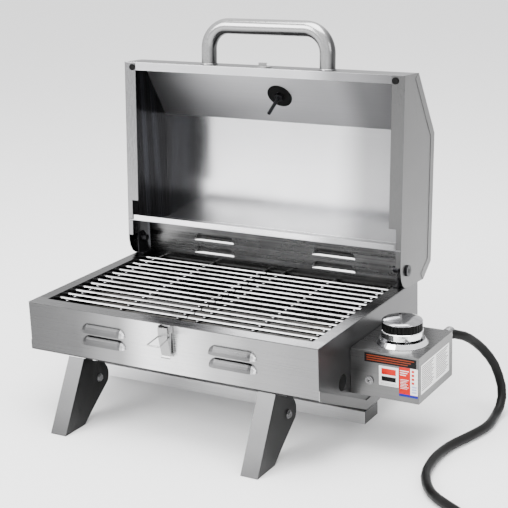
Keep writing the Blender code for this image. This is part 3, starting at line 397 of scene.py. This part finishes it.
def bolt_steel():
    """Plated fasteners with turning marks."""
    made = Shader("bolt_steel", (0.5, 0.5, 0.5), 0.3, 1.0)
    marks = made.noise(900.0, (0.2, 1, 1), detail=2.0)
    dirt = made.noise(260.0, detail=4.0)
    made.colour(made.mix(made.ramp(dirt, 0.45, 0.7, 0.0, 0.8), (0.26, 0.26, 0.265), (0.08, 0.078, 0.075)))
    made.rough(made.ramp(marks, 0.3, 0.7, 0.2, 0.42))
    made.bump(marks, 0.00006, 0.6, 0.0005)
    return made.material


def dark_plating_and_painted_reflection():
    """Dark plating with paler flecks; on the hinge ears its near-black tone is also a painted reflection."""
    made = Shader("dark_plating_and_painted_reflection", (0.07, 0.07, 0.075), 0.35, 0.8)
    flecks = made.noise(300.0, detail=4.0)
    made.colour(made.mix(made.ramp(flecks, 0.5, 0.75, 0.0, 0.6), (0.02, 0.02, 0.022), (0.06, 0.06, 0.065)))
    made.rough(made.ramp(flecks, 0.3, 0.7, 0.28, 0.5))
    made.bump(flecks, 0.0001, 0.3, 0.0005)
    return made.material


def chrome():
    """Polished plating with light wiping marks."""
    made = Shader("chrome", (0.86, 0.86, 0.87), 0.08, 1.0)
    wipes = made.noise(60.0, (1, 1, 4), detail=5.0)
    made.colour(made.blotches(wipes, 0.4, 0.8, (0.88, 0.88, 0.89), (0.70, 0.70, 0.72)))
    made.rough(made.ramp(wipes, 0.35, 0.75, 0.04, 0.16))
    made.bump(wipes, 0.00005, 0.2, 0.0006)
    return made.material


def knob_cap_finish():
    """Dark mirror-like metal of the knob's cap."""
    made = Shader("knob_cap_metal", (0.3, 0.3, 0.31), 0.1, 1.0)
    swirl = made.noise(90.0, detail=4.0)
    made.colour(made.blotches(swirl, 0.4, 0.8, (0.34, 0.34, 0.35), (0.24, 0.24, 0.25)))
    made.rough(made.ramp(swirl, 0.3, 0.7, 0.06, 0.16))
    made.bump(swirl, 0.00005, 0.2, 0.0006)
    return made.material


def plastic(name, colour, roughness, grain=900.0):
    """Moulded plastic or rubber with a fine texture and worn patches."""
    made = Shader(name, colour, roughness, 0.0, IOR=1.18)
    texture = made.noise(grain, detail=2.0)
    patches = made.noise(50.0, detail=4.0)
    worn = tuple(min(1.0, channel * 1.4 + 0.004) for channel in colour)
    made.colour(made.mix(made.ramp(patches, 0.5, 0.8, 0.0, 0.6), colour, worn))
    made.rough(made.ramp(patches, 0.3, 0.7, roughness - 0.06, roughness + 0.1))
    made.bump(texture, 0.00008, 0.4, 0.0005)
    return made.material


def hose_rubber():
    """Black hose: smooth rubber cover with fine pores and dust."""
    made = Shader("hose_rubber_cover", (0.006, 0.006, 0.006), 0.4, 0.0, IOR=1.22)
    dust = made.noise(25.0, detail=5.0)
    pores = made.noise(1200.0, detail=2.0)
    made.colour(made.mix(made.ramp(dust, 0.5, 0.8, 0.0, 0.5), (0.004, 0.004, 0.004), (0.010, 0.010, 0.010)))
    made.rough(made.ramp(dust, 0.35, 0.75, 0.32, 0.52))
    made.bump(pores, 0.00008, 0.35)
    return made.material


def brass():
    """Machined brass, slightly tarnished."""
    made = Shader("valve_brass_metal", (0.62, 0.48, 0.24), 0.3, 1.0)
    tarnish = made.noise(120.0, detail=5.0)
    made.colour(made.blotches(tarnish, 0.4, 0.7, (0.66, 0.52, 0.27), (0.36, 0.26, 0.13)))
    made.rough(made.ramp(tarnish, 0.3, 0.7, 0.2, 0.45))
    made.bump(tarnish, 0.0001, 0.3, 0.0005)
    return made.material


def cast_metal():
    """Die-cast regulator body with a grainy skin."""
    made = Shader("cast_metal", (0.42, 0.42, 0.43), 0.45, 1.0)
    skin = made.noise(700.0, detail=4.0)
    marks = made.noise(60.0, detail=5.0)
    made.colour(made.blotches(marks, 0.4, 0.7, (0.46, 0.46, 0.47), (0.33, 0.33, 0.34)))
    made.rough(made.ramp(skin, 0.3, 0.7, 0.38, 0.58))
    made.bump(skin, 0.0002, 0.5, 0.0008)
    return made.material


# ---------------------------------------------------------------- shapes
def piece(name, bm, body, material, smooth=True):
    """A new visible piece from a bmesh in world metres."""
    mesh = bpy.data.meshes.new(name)
    bm.to_mesh(mesh)
    bm.free()
    obj = bpy.data.objects.new(name, mesh)
    bpy.context.scene.collection.objects.link(obj)
    obj.data.materials.append(material)
    if smooth:
        mesh.shade_smooth()
        mesh.set_sharp_from_angle(angle=math.radians(35))
    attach(obj, body)
    return obj


def add_box(bm, low, high, bevel):
    """Block between two corners, with its edges rounded."""
    made = bmesh.ops.create_cube(bm, size=1.0)["verts"]
    for vert in made:
        for axis in range(3):
            vert.co[axis] = high[axis] if vert.co[axis] > 0 else low[axis]
    edges = list({edge for vert in made for edge in vert.link_edges})
    bmesh.ops.bevel(bm, geom=edges, offset=bevel, segments=2, affect="EDGES", profile=0.5)


def tube(name, points, radius, body, material, resolution):
    """Round wire or tube along points."""
    curve = bpy.data.curves.new(name, "CURVE")
    curve.dimensions = "3D"
    curve.bevel_depth = radius
    curve.bevel_resolution = resolution
    curve.use_fill_caps = True
    line = curve.splines.new("POLY")
    line.points.add(len(points) - 1)
    for place, point in zip(line.points, points):
        place.co = (*point, 1.0)
    line.use_smooth = True
    obj = bpy.data.objects.new(name, curve)
    bpy.context.scene.collection.objects.link(obj)
    curve.materials.append(material)
    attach(obj, body)
    return obj


def turned(bm, profile, origin, axis, steps):
    """Solid of revolution: (radius, distance) pairs about an axis through origin."""
    turn = Vector((0, 0, 1)).rotation_difference(Vector(axis)).to_matrix().to_4x4()
    place = Matrix.Translation(origin) @ turn
    rings = []
    for radius, distance in profile:
        if radius == 0:
            rings.append([bm.verts.new(place @ Vector((0, 0, distance)))])
            continue
        ring = []
        for step in range(steps):
            angle = math.tau * step / steps
            point = Vector((radius * math.cos(angle), radius * math.sin(angle), distance))
            ring.append(bm.verts.new(place @ point))
        rings.append(ring)
    for first, second in zip(rings, rings[1:]):
        for step in range(steps):
            following = (step + 1) % steps
            corners = [first[step % len(first)], first[following % len(first)]]
            corners += [second[following % len(second)], second[step % len(second)]]
            bm.faces.new(list(dict.fromkeys(corners)))
    bmesh.ops.recalc_face_normals(bm, faces=bm.faces)


def rounded(points, radius, steps):
    """Polyline with its inner corners rounded."""
    path = [Vector(points[0])]
    for before, corner, after in zip(points, points[1:], points[2:]):
        corner = Vector(corner)
        back = (Vector(before) - corner).normalized()
        ahead = (Vector(after) - corner).normalized()
        half = back.angle(ahead) / 2
        middle = corner + (back + ahead).normalized() * radius / math.sin(half)
        first = corner + back * radius / math.tan(half) - middle
        last = corner + ahead * radius / math.tan(half) - middle
        sweep = first.angle(last)
        for step in range(steps + 1):
            share = step / steps
            blend = first * math.sin((1 - share) * sweep) + last * math.sin(share * sweep)
            path.append(middle + blend / math.sin(sweep))
    path.append(Vector(points[-1]))
    return path


def spline(route, spacing):
    """Evenly spaced points on a smooth curve through the route points."""
    ends = [route[0] * 2 - route[1]] + list(route) + [route[-1] * 2 - route[-2]]
    fine = []
    for p0, p1, p2, p3 in zip(ends, ends[1:], ends[2:], ends[3:]):
        for step in range(40):
            t = step / 40
            bend = (p2 - p0) * t + (p0 * 2 - p1 * 5 + p2 * 4 - p3) * t * t
            fine.append(p1 + (bend + (p1 * 3 - p0 - p2 * 3 + p3) * t ** 3) / 2)
    fine.append(route[-1])
    length = sum((b - a).length for a, b in zip(fine, fine[1:]))
    count = max(2, round(length / spacing))
    result = [fine[0]]
    walked = 0.0
    for a, b in zip(fine, fine[1:]):
        stretch = (b - a).length
        while len(result) < count and walked + stretch >= len(result) * length / count:
            result.append(a.lerp(b, (len(result) * length / count - walked) / stretch))
        walked += stretch
    result.append(fine[-1])
    return result


# ---------------------------------------------------------------- gas hose
# The route's points are part.py's: out of the inlet fitting, down to the ground and out of view.
# It enters the coil at ENTRY_DEG, and from CLIMB_FROM to CLIMB_TO turns it climbs by LAYER.
HOSE_R = 0.007
HOSE_Z = 0.0072
HOSE_SPACING = 0.0175
COIL_X = 0.4550
COIL_Y = -0.3250
COIL_R = 0.0800
COIL_TURNS = 1.30
COIL_STEPS = 96
CLIMB_FROM = 0.78
CLIMB_TO = 0.97
ENTRY_DEG = 58.8
LAYER = 0.0143
TAIL_END = 0.1854
TAIL_STEPS = 6
HOSE_ROUTE = [
    (0.2860, 0.0716, 0.1380), (0.2860, 0.0790, 0.1380), (0.3013, 0.0910, 0.1336),
    (0.3067, 0.1100, 0.1233), (0.3145, 0.1260, 0.1095), (0.3237, 0.1380, 0.0936),
    (0.3328, 0.1460, 0.0756), (0.3388, 0.1495, 0.0592), (0.3474, 0.1446, 0.0372),
    (0.3518, 0.1309, 0.0194), (0.3514, 0.1153, 0.0103), (0.3526, 0.0975, 0.0072),
    (0.3539, 0.0615, 0.0072), (0.3430, 0.0178, 0.0072), (0.3310, -0.0214, 0.0072),
    (0.3263, -0.0631, 0.0072), (0.3305, -0.1052, 0.0072), (0.3394, -0.1342, 0.0072),
    (0.3584, -0.1661, 0.0072), (0.3787, -0.1848, 0.0072), (0.3986, -0.1973, 0.0072),
    (0.4262, -0.2140, 0.0072),
]


def smoothstep(value):
    """Smooth climb from 0 to 1, level at both ends."""
    value = max(0.0, min(1.0, value))
    return value * value * (3 - 2 * value)


def hose_path():
    """Whole length of the hose: route, lead into the coil, its turns and the tail."""
    entry = math.radians(ENTRY_DEG)
    middle = Vector((COIL_X, COIL_Y, 0.0))

    def on_coil(angle, height):
        return middle + Vector((COIL_R * math.cos(angle), COIL_R * math.sin(angle), height))

    start = on_coil(entry, HOSE_Z)
    route = spline([Vector(point) for point in HOSE_ROUTE] + [start], HOSE_SPACING)
    turns = []
    sweep = math.tau * COIL_TURNS
    for step in range(1, COIL_STEPS + 1):
        gone = sweep * step / COIL_STEPS
        lift = LAYER * smoothstep((gone / math.tau - CLIMB_FROM) / (CLIMB_TO - CLIMB_FROM))
        turns.append(on_coil(entry - gone, HOSE_Z + lift))
    leaving = entry - sweep
    heading = Vector((math.cos(leaving - math.pi / 2), math.sin(leaving - math.pi / 2), 0.0))
    tail = [turns[-1] + heading * TAIL_END * step / TAIL_STEPS for step in range(1, TAIL_STEPS + 1)]
    return route + turns + tail, heading


def add_hose(rubber, metal):
    """The hose with its crimped ferrules."""
    path, heading = hose_path()
    obj = tube("gas_hose", path, HOSE_R, ROOT, rubber, 8)
    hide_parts("hose", "hose_coil", "hose_tail")
    for name, end, along in (
        ("inlet_ferrule", path[0], Vector((0, 1, 0))), ("regulator_ferrule", path[-1], -heading),
    ):
        bm = bmesh.new()
        profile = [(0.0072, 0.0002), (0.0086, 0.0002), (0.0090, 0.0008)]
        for index in range(4):
            near = 0.0022 + index * 0.0030
            profile += [(0.0090, near), (0.0083, near + 0.0006)]
            profile += [(0.0083, near + 0.0014), (0.0090, near + 0.0020)]
        profile += [(0.0090, 0.0148), (0.0083, 0.0156), (0.0072, 0.0156), (0.0072, 0.0002)]
        turned(bm, profile, end, along, 32)
        piece(name, bm, ROOT, metal)


# ---------------------------------------------------------------- details
GRATES = ("left_grate", "right_grate")
BAR_Y = [-0.1402 + index * 0.01983 for index in range(14)]
BAR_Z = 0.1785
WELD_Z = 0.1764
WIRE_INSET = 0.016
LID_OPEN = 93.8


def add_grate_welds(material):
    """Small weld beads where the bars cross the wires of each grate."""
    for name in GRATES:
        low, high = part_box(name)
        bm = bmesh.new()
        for x in (low.x + WIRE_INSET, (low.x + high.x) / 2, high.x - WIRE_INSET):
            for y in BAR_Y:
                for side in (-1, 1):
                    made = bmesh.ops.create_icosphere(bm, subdivisions=2, radius=0.0019)["verts"]
                    for vert in made:
                        vert.co = Vector((vert.co.x * 1.5, vert.co.y, vert.co.z * 0.8))
                        vert.co += Vector((x, y + side * 0.0016, WELD_Z))
        piece(name + "_welds", bm, name, material)


def add_bar_ends(material):
    """Domed ends on the grate bars, standing under 1 mm proud of the cut ends."""
    dome = [(0.0, 0.0009), (0.0013, 0.0007), (0.0021, 0.0002), (0.0024, -0.0006), (0.0, -0.0006)]
    for name in GRATES:
        low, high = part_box(name)
        bm = bmesh.new()
        for y in BAR_Y:
            for x, side in ((low.x, -1), (high.x, 1)):
                turned(bm, dome, (x, y, BAR_Z), (side, 0, 0), 12)
        piece(name + "_bar_ends", bm, name, material)


def on_lid(x, y, z):
    """World place, on the lid open as in the photo, of a point measured from the hinge with it closed."""
    hinge = Vector(JOINTS["lid_hinge"]["pos_m"])
    return hinge + Matrix.Rotation(math.radians(-LID_OPEN), 3, "X") @ Vector((x, y, z))


HANDLE_LEFT = 0.0047 - 0.1066
HANDLE_RIGHT = 0.0047 + 0.1066
HANDLE_FOOT_Y = -0.3001
HANDLE_GRIP_Y = -0.3616
HANDLE_Z = 0.0005
HANDLE_BEND = 0.037
HANDLE_R = 0.0125


def add_handle(material):
    """Smooth tubular lid handle with a weld collar at each foot."""
    corners = [
        on_lid(HANDLE_LEFT, HANDLE_FOOT_Y, HANDLE_Z), on_lid(HANDLE_LEFT, HANDLE_GRIP_Y, HANDLE_Z),
        on_lid(HANDLE_RIGHT, HANDLE_GRIP_Y, HANDLE_Z), on_lid(HANDLE_RIGHT, HANDLE_FOOT_Y, HANDLE_Z),
    ]
    path = rounded(corners, HANDLE_BEND, 16)
    handle = tube("handle_tube", path, HANDLE_R, "lid", material, 10)
    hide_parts("lid_handle")
    bm = bmesh.new()
    collar = [
        (0.0126, 0.0002), (0.0139, 0.0002), (0.0139, 0.0008), (0.0132, 0.0018), (0.0126, 0.0020),
        (0.0126, 0.0002),
    ]
    for foot, bend in (corners[:2], corners[:1:-1]):
        turned(bm, collar, foot, bend - foot, 40)
    piece("handle_collars", bm, "lid", material)


def cross_recess(bm, centre, axis, size):
    """Thin black cross of painted shade that reads as a driver recess on a screw head."""
    turn = Vector((0, 0, 1)).rotation_difference(Vector(axis)).to_matrix().to_4x4()
    for angle in (0.4, 0.4 + math.pi / 2):
        made = bmesh.ops.create_cube(bm, size=1.0)["verts"]
        spin = Matrix.Rotation(angle, 4, "Z")
        for vert in made:
            vert.co = Vector((vert.co.x * size * 2, vert.co.y * size * 0.42, vert.co.z * 0.0004))
        bmesh.ops.transform(bm, matrix=Matrix.Translation(centre) @ turn @ spin, verts=made)


def add_recesses(material):
    """Driver recesses in the control box's screw and the hinge bolts."""
    bm = bmesh.new()
    low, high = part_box("control_box_screw")
    cross_recess(bm, ((low.x + high.x) / 2, low.y, (low.z + high.z) / 2), (0, -1, 0), 0.0026)
    hinge = JOINTS["lid_hinge"]["pos_m"]
    for name, side in (("left_hinge_bolt", -1), ("right_hinge_bolt", 1)):
        low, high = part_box(name)
        face = low.x if side < 0 else high.x
        cross_recess(bm, (face, hinge[1], hinge[2]), (side, 0, 0), 0.0042)
    piece("driver_recesses", bm, ROOT, material, smooth=False)


# ---------------------------------------------------------------- labels
def label_paper(name, base, bands):
    """Coated label: plain base with rectangles of colour, all without lettering.

    Each band is (X or Y, low, high, z low, z high, colour)."""
    made = Shader(name, base, 0.5, 0.0, IOR=1.2)
    tone = base
    split = {letter: made.axis(letter) for letter in "XYZ"}
    for letter, low, high, z_low, z_high, colour in bands:
        inside = made.math("GREATER_THAN", split[letter], low)
        for value in (
            made.math("LESS_THAN", split[letter], high),
            made.math("GREATER_THAN", split["Z"], z_low),
            made.math("LESS_THAN", split["Z"], z_high),
        ):
            inside = made.math("MULTIPLY", inside, value)
        tone = made.mix(inside, tone, colour)
    print_grain = made.noise(400.0, detail=3.0)
    faded = tuple(0.85 * channel + 0.05 for channel in base)
    made.colour(made.mix(made.ramp(print_grain, 0.55, 0.8, 0.0, 0.25), tone, faded))
    made.rough(made.ramp(made.noise(60.0, detail=3.0), 0.3, 0.7, 0.42, 0.62))
    made.bump(print_grain, 0.00004, 0.3)
    return made.material


def rows(letter, low, high, z_top, pitch, thickness, count, colour, ragged=0.0):
    """Evenly spaced plain bars of uneven length."""
    bands = []
    for index in range(count):
        short = ragged * ((index * 7) % 5) / 5
        z = z_top - index * pitch
        bands.append((letter, low, high - short, z - thickness, z, colour))
    return bands


WHITE = (0.80, 0.80, 0.79)
PALE_BLUE = (0.35, 0.42, 0.62)
EMBER = (0.22, 0.035, 0.012)
RED = (0.50, 0.010, 0.007)
BLUE = (0.008, 0.018, 0.26)
LABEL_GAP = 0.00008
LABEL_FACE = 0.0004


def add_front_labels():
    """Three labels on the control box's front, plain blocks of colour where the real ones are printed."""
    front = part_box("control_box_shell")[0].y
    strip = rows("X", 0.2235, 0.2962, 0.1482, 0.0034, 0.0014, 3, EMBER, 0.012)
    notice = rows("X", 0.2450, 0.2702, 0.1092, 0.0018, 0.0006, 2, (0.30, 0.30, 0.30))
    coloured = [("X", 0.2905, 0.3019, 0.0975, 0.1370, WHITE), ("X", 0.2733, 0.3019, 0.0934, 0.0972, BLUE)]
    coloured += rows("X", 0.2750, 0.2885, 0.1325, 0.0032, 0.0012, 3, WHITE, 0.006)
    coloured += rows("X", 0.2755, 0.2880, 0.1190, 0.0022, 0.0007, 7, WHITE, 0.005)
    coloured += rows("X", 0.2925, 0.2965, 0.1345, 0.0058, 0.0034, 4, RED)
    coloured += rows("X", 0.2930, 0.3000, 0.1110, 0.0040, 0.0024, 3, PALE_BLUE)
    for name, low, high, base, bands in (
        ("name_strip", (0.2203, 0.1375), (0.2994, 0.1505), (0.006, 0.006, 0.006), strip),
        ("notice_label", (0.2426, 0.1052), (0.2727, 0.1345), WHITE, notice),
        ("colour_label", (0.2733, 0.0934), (0.3019, 0.1370), RED, coloured),
    ):
        bm = bmesh.new()
        add_box(bm, (low[0], front - LABEL_FACE, low[1]), (high[0], front - LABEL_GAP, high[1]), 0.0001)
        piece(name, bm, ROOT, label_paper(name + "_print", base, bands))


def add_side_label():
    """White label on the control box's right side, with two columns of plain grey bars."""
    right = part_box("control_box_shell")[1].x
    bm = bmesh.new()
    add_box(bm, (right + LABEL_GAP, -0.0664, 0.0972), (right + LABEL_FACE, 0.0373, 0.1407), 0.0001)
    lines = rows("Y", -0.0635, -0.0195, 0.1380, 0.0029, 0.0014, 13, (0.10, 0.10, 0.10), 0.010)
    lines += rows("Y", -0.0120, 0.0330, 0.1380, 0.0029, 0.0014, 13, (0.11, 0.11, 0.11), 0.012)
    piece("side_label", bm, ROOT, label_paper("side_label_print", WHITE, lines))


def add_notice_blocks(red, black):
    """Two plain blocks on the notice label."""
    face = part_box("control_box_shell")[0].y - LABEL_FACE
    for name, low, high, ink in (
        ("notice_upper_block", 0.1222, 0.1312, red), ("notice_lower_block", 0.1122, 0.1192, black),
    ):
        bm = bmesh.new()
        add_box(bm, (0.2466, face - 0.00015, low), (0.2687, face, high), 0.00003)
        piece(name, bm, ROOT, ink)


# ---------------------------------------------------------------- thermometer, burner ports, bail, cap
GAUGE_PLACE = (-0.0050, -0.2491, 0.0606)
GAUGE_TILT = 34.7
GAUGE_MARKS = 25


def add_lens():
    """Glass and scale marks of the lid thermometer."""
    made = Shader("lens_glass", (1.0, 1.0, 1.0), 0.03, 0.0, IOR=1.5, Transmission_Weight=1.0)
    made.rough(made.ramp(made.noise(80.0, detail=3.0), 0.4, 0.8, 0.02, 0.08))
    tilt = math.radians(GAUGE_TILT - LID_OPEN)
    normal = Vector((0, -math.sin(tilt), math.cos(tilt)))
    foot = on_lid(*GAUGE_PLACE)
    crown = [(0.0, 0.0099), (0.0150, 0.0097), (0.0240, 0.0090), (0.0240, 0.0082), (0.0, 0.0086)]
    bm = bmesh.new()
    turned(bm, crown, foot, normal, 48)
    piece("thermometer_glass", bm, "lid", made.material)
    bm = bmesh.new()
    across = normal.cross(Vector((1, 0, 0))).normalized()
    for index in range(GAUGE_MARKS):
        angle = math.radians(-135 + 270 * index / (GAUGE_MARKS - 1))
        outward = Vector((1, 0, 0)) * math.sin(angle) + across * math.cos(angle)
        long = 0.0040 if index % 4 == 0 else 0.0022
        middle = foot + normal * 0.00395 + outward * (0.0215 - long / 2)
        made_verts = bmesh.ops.create_cube(bm, size=1.0)["verts"]
        for vert in made_verts:
            vert.co = Vector((vert.co.x * long, vert.co.y * 0.0005, vert.co.z * 0.0002))
        side = normal.cross(outward).normalized()
        turn = Matrix((outward, side, normal)).transposed().to_4x4()
        bmesh.ops.transform(bm, matrix=Matrix.Translation(middle) @ turn, verts=made_verts)
    ink = plastic("tick_ink", (0.02, 0.02, 0.02), 0.5)
    piece("thermometer_ticks", bm, "lid", ink, smooth=False)


def add_burner_ports(material):
    """Two rows of rimmed flame ports along the burner tube: flat black discs, painted shade standing in for
    the holes.
    """
    low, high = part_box("burner_tube")
    centre_y = (low.y + high.y) / 2
    centre_z = (low.z + high.z) / 2
    radius = (high.z - low.z) / 2
    rim = [(0.0, 0.0002), (0.0012, 0.0002), (0.0015, 0.0003), (0.0016, 0.0), (0.0, 0.0)]
    count = 44
    bm = bmesh.new()
    for side in (-1, 1):
        angle = math.radians(side * 35)
        axis = Vector((0, math.sin(angle), math.cos(angle)))
        for index in range(count):
            x = low.x + 0.03 + (high.x - low.x - 0.07) * index / (count - 1)
            foot = Vector((x, centre_y, centre_z)) + axis * (radius - 0.0001)
            turned(bm, rim, foot, axis, 10)
    piece("burner_ports", bm, ROOT, material)


def add_bail(material):
    """Wire bail of the latch, a little wider towards its free end."""
    pivot = Vector(JOINTS["latch_bail_pivot"]["pos_m"])
    corners = [
        (-0.0072, 0, 0), (-0.0094, 0, 0), (-0.0104, -0.0302, -0.0046),
        (0.0104, -0.0302, -0.0046), (0.0094, 0, 0), (0.0072, 0, 0),
    ]
    path = rounded([pivot + Vector(corner) for corner in corners], 0.0019, 8)
    bail = tube("bail_wire", path, 0.0011, "latch_bail", material, 6)
    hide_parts("latch_bail")


def add_cap(material):
    """Domed cap of the knob."""
    low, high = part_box("knob_cap")
    centre = ((low.x + high.x) / 2, (low.y + high.y) / 2, 0.0)
    profile = [
        (0.0, 0.0074), (0.0060, 0.0072), (0.0120, 0.0066), (0.0180, 0.0056), (0.0235, 0.0043),
        (0.0270, 0.0031), (0.0288, 0.0021), (0.0296, 0.0008), (0.0297, 0.0), (0.0, 0.0),
    ]
    bm = bmesh.new()
    turned(bm, [(radius, low.z + height) for radius, height in profile], centre, (0, 0, 1), 64)
    cap = piece("domed_cap", bm, "knob", material)
    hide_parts("knob_cap")


# ---------------------------------------------------------------- studio
def add_floor():
    """Plain pale floor."""
    bm = bmesh.new()
    bmesh.ops.create_grid(bm, x_segments=1, y_segments=1, size=12.0)
    mesh = bpy.data.meshes.new("floor")
    bm.to_mesh(mesh)
    bm.free()
    floor = bpy.data.objects.new("floor", mesh)
    floor.location.z = -0.0002
    bpy.context.scene.collection.objects.link(floor)
    floor.data.materials.append(Shader("floor_paint", (0.95, 0.95, 0.95), 0.9, 0.0).material)


def add_light(name, place, target, size, power):
    """Soft square lamp aimed at a point."""
    data = bpy.data.lights.new(name, "AREA")
    data.shape = "SQUARE"
    data.size = size
    data.energy = power
    lamp = bpy.data.objects.new(name, data)
    lamp.location = place
    lamp.rotation_euler = (Vector(target) - Vector(place)).to_track_quat("-Z", "Y").to_euler()
    bpy.context.scene.collection.objects.link(lamp)


def add_lights():
    """White room, dimmer near the horizon, with soft lamps above, at the front left and at the right."""
    world = bpy.data.worlds.new("studio")
    bpy.context.scene.world = world
    world.use_nodes = True
    tree = world.node_tree
    background = tree.nodes["Background"]
    place = tree.nodes.new("ShaderNodeTexCoord")
    split = tree.nodes.new("ShaderNodeSeparateXYZ")
    ramp = tree.nodes.new("ShaderNodeValToRGB")
    tree.links.new(place.outputs["Generated"], split.inputs[0])
    tree.links.new(split.outputs["Z"], ramp.inputs["Fac"])
    tree.links.new(ramp.outputs["Color"], background.inputs["Color"])
    ramp.color_ramp.elements[0].position = 0.0
    ramp.color_ramp.elements[0].color = (0.75, 0.75, 0.76, 1.0)
    ramp.color_ramp.elements[1].position = 0.25
    ramp.color_ramp.elements[1].color = (0.85, 0.85, 0.86, 1.0)
    top = ramp.color_ramp.elements.new(1.0)
    top.color = (1.0, 1.0, 1.0, 1.0)
    background.inputs["Strength"].default_value = 1.9
    add_light("key", (-1.4, -2.0, 1.9), (-0.05, 0.0, 0.2), 1.6, 85.0)
    add_light("top", (0.1, -0.1, 2.4), (0.0, 0.0, 0.2), 1.8, 95.0)
    add_light("right", (2.2, -0.6, 1.2), (0.1, 0.0, 0.2), 0.9, 14.0)


# ---------------------------------------------------------------- the model
def paint(material, *names):
    """Give CAD nodes a material and smooth shading up to their edges."""
    for name in names:
        mesh = NODES[name].data
        mesh.materials.clear()
        mesh.materials.append(material)
        mesh.shade_smooth()
        mesh.set_sharp_from_angle(angle=math.radians(28))


def paint_all():
    """Materials of the CAD nodes, by material and grain direction."""
    # Front panel: painted light and shade, dark at the left end, bright in the middle, dim at the right end,
    # with darker side and top faces and shaded louvre hoods.
    front_light_and_shade = [("X", [
        (-0.3025, 0.16), (-0.22, 0.19), (-0.14, 0.42), (-0.08, 1.5), (-0.03, 1.3), (0.04, 0.7),
        (0.10, 0.46), (0.20, 0.36),
    ])]
    paint(steel("front_steel", "X", 0.50, 0.26, side=0.08, top=0.10, light_and_shade_profiles=front_light_and_shade,
                louvres=FRONT_FACE_Y), "front_panel")
    # Grease tray: painted shade, darker towards the right end and near-black on faces that look along +-X.
    tray_light_and_shade = [("X", [(-0.30, 1.0), (-0.05, 0.9), (0.20, 0.55)])]
    paint(steel("tray_steel", "X", 0.80, 0.30, side=0.02, light_and_shade_profiles=tray_light_and_shade), "grease_tray")
    # Top rim: painted light along the front strip, and painted shade on the grate ledge's faces that look up.
    rim_light_and_shade = [("Y", [(-0.171, 2.4), (-0.149, 2.4), (-0.140, 1.0), (0.150, 0.9)])]
    paint(steel("rim_steel", "X", 0.045, 0.24, dark=(0.0, 0.178, 0.008), light_and_shade_profiles=rim_light_and_shade), "top_rim")
    paint(pan_steel(), "bottom_pan")
    # Tray rails: painted shade on faces that look along +-X.
    paint(steel("rail_steel", "X", 0.30, 0.28, side=0.10), "front_tray_rail", "rear_tray_rail")
    # Side panels: painted shade, darker towards the front and towards the bottom.
    side_panel_light_and_shade = [
        ("Y", [(-0.171, 0.62), (-0.12, 0.8), (0.0, 0.9), (0.171, 1.05)]),
        ("Z", [(0.06, 0.55), (0.12, 1.0), (0.185, 1.1)]),
    ]
    paint(steel("side_steel", "Y", 0.085, 0.30, light_and_shade_profiles=side_panel_light_and_shade), "left_side_panel", "right_side_panel")
    paint(wall_steel(), "rear_wall")
    paint(lid_steel(), "lid_shell")
    paint(steel("lid_side_steel", "Z", 0.12, 0.30, contrast=0.8), "lid_right_side")
    paint(dark_inner_steel(), "lid_left_side")
    # Control box: painted light and shade, a darker top and lighter faces that look along +-X.
    paint(steel("box_steel", "X", 0.125, 0.28, top=0.10, side=0.14), "control_box_shell")
    # Legs: painted shade, darker towards the bottom and near-black on faces that look along +-X.
    leg_light_and_shade = [("Z", [(0.0, 0.75), (0.04, 0.95), (0.11, 1.1)])]
    paint(steel("leg_steel", "Z", 0.105, 0.28, side=0.03, light_and_shade_profiles=leg_light_and_shade),
          "front_left_leg", "front_right_leg", "rear_left_leg", "rear_right_leg")
    paint(steel("latch_steel", "Z", 0.30, 0.22), "latch_base", "latch_lever", "lid_catch", "thermometer_case")
    paint(wire_steel(), "left_grate", "right_grate")
    paint(burner_steel(), "burner_tube", "burner_bracket", "flame_tamer")
    paint(bolt_steel(), "front_left_leg_bolt", "front_right_leg_bolt", "rear_left_leg_bolt",
          "rear_right_leg_bolt", "control_box_screw", "left_handle_screw", "right_handle_screw")
    # Hinge ears: near-black painted reflection; the other parts are dark plated.
    paint(dark_plating_and_painted_reflection(), "left_hinge_ear", "right_hinge_ear", "left_hinge_bolt", "right_hinge_bolt",
          "thermometer_nut", "thermometer_probe", "inlet_fitting", "valve_stem")
    paint(chrome(), "knob_bezel", "knob_skirt")
    paint(plastic("grip_plastic", (0.002, 0.002, 0.002), 0.42), "knob_grip")
    paint(knob_cap_finish(), "knob_cap")
    paint(brass(), "gas_valve", "gas_orifice", "supply_pipe")
    rubber = plastic("bumper_rubber_skin", (0.004, 0.004, 0.004), 0.6, 500.0)
    paint(rubber, "left_bumper", "right_bumper", "thermometer_disc")
    paint(plastic("dial_face", (0.80, 0.80, 0.79), 0.45), "thermometer_dial")
    paint(plastic("needle_paint", (0.50, 0.03, 0.02), 0.4), "thermometer_needle")
    paint(cast_metal(), "regulator")
    paint(plastic("nut_plastic", (0.015, 0.015, 0.016), 0.4), "cylinder_nut")


# ---------------------------------------------------------------- making
add_camera()
add_hose(hose_rubber(), bolt_steel())
paint_all()
WIRE = wire_steel()
add_grate_welds(WIRE)
add_bar_ends(WIRE)
add_handle(handle_steel())
# Black of the driver recesses: painted shade.
add_recesses(plastic("recess_painted_shade", (0.02, 0.02, 0.02), 0.5))
add_front_labels()
add_side_label()
add_notice_blocks(
    plastic("notice_red", (0.50, 0.012, 0.008), 0.5), plastic("notice_black", (0.004, 0.004, 0.004), 0.5)
)
add_lens()
# Black of the flame ports: painted shade in the holes.
add_burner_ports(plastic("port_hole_shade", (0.01, 0.01, 0.01), 0.6))
add_bail(steel("detail_steel", "X", 0.36, 0.2))
add_cap(knob_cap_finish())
add_floor()
add_lights()
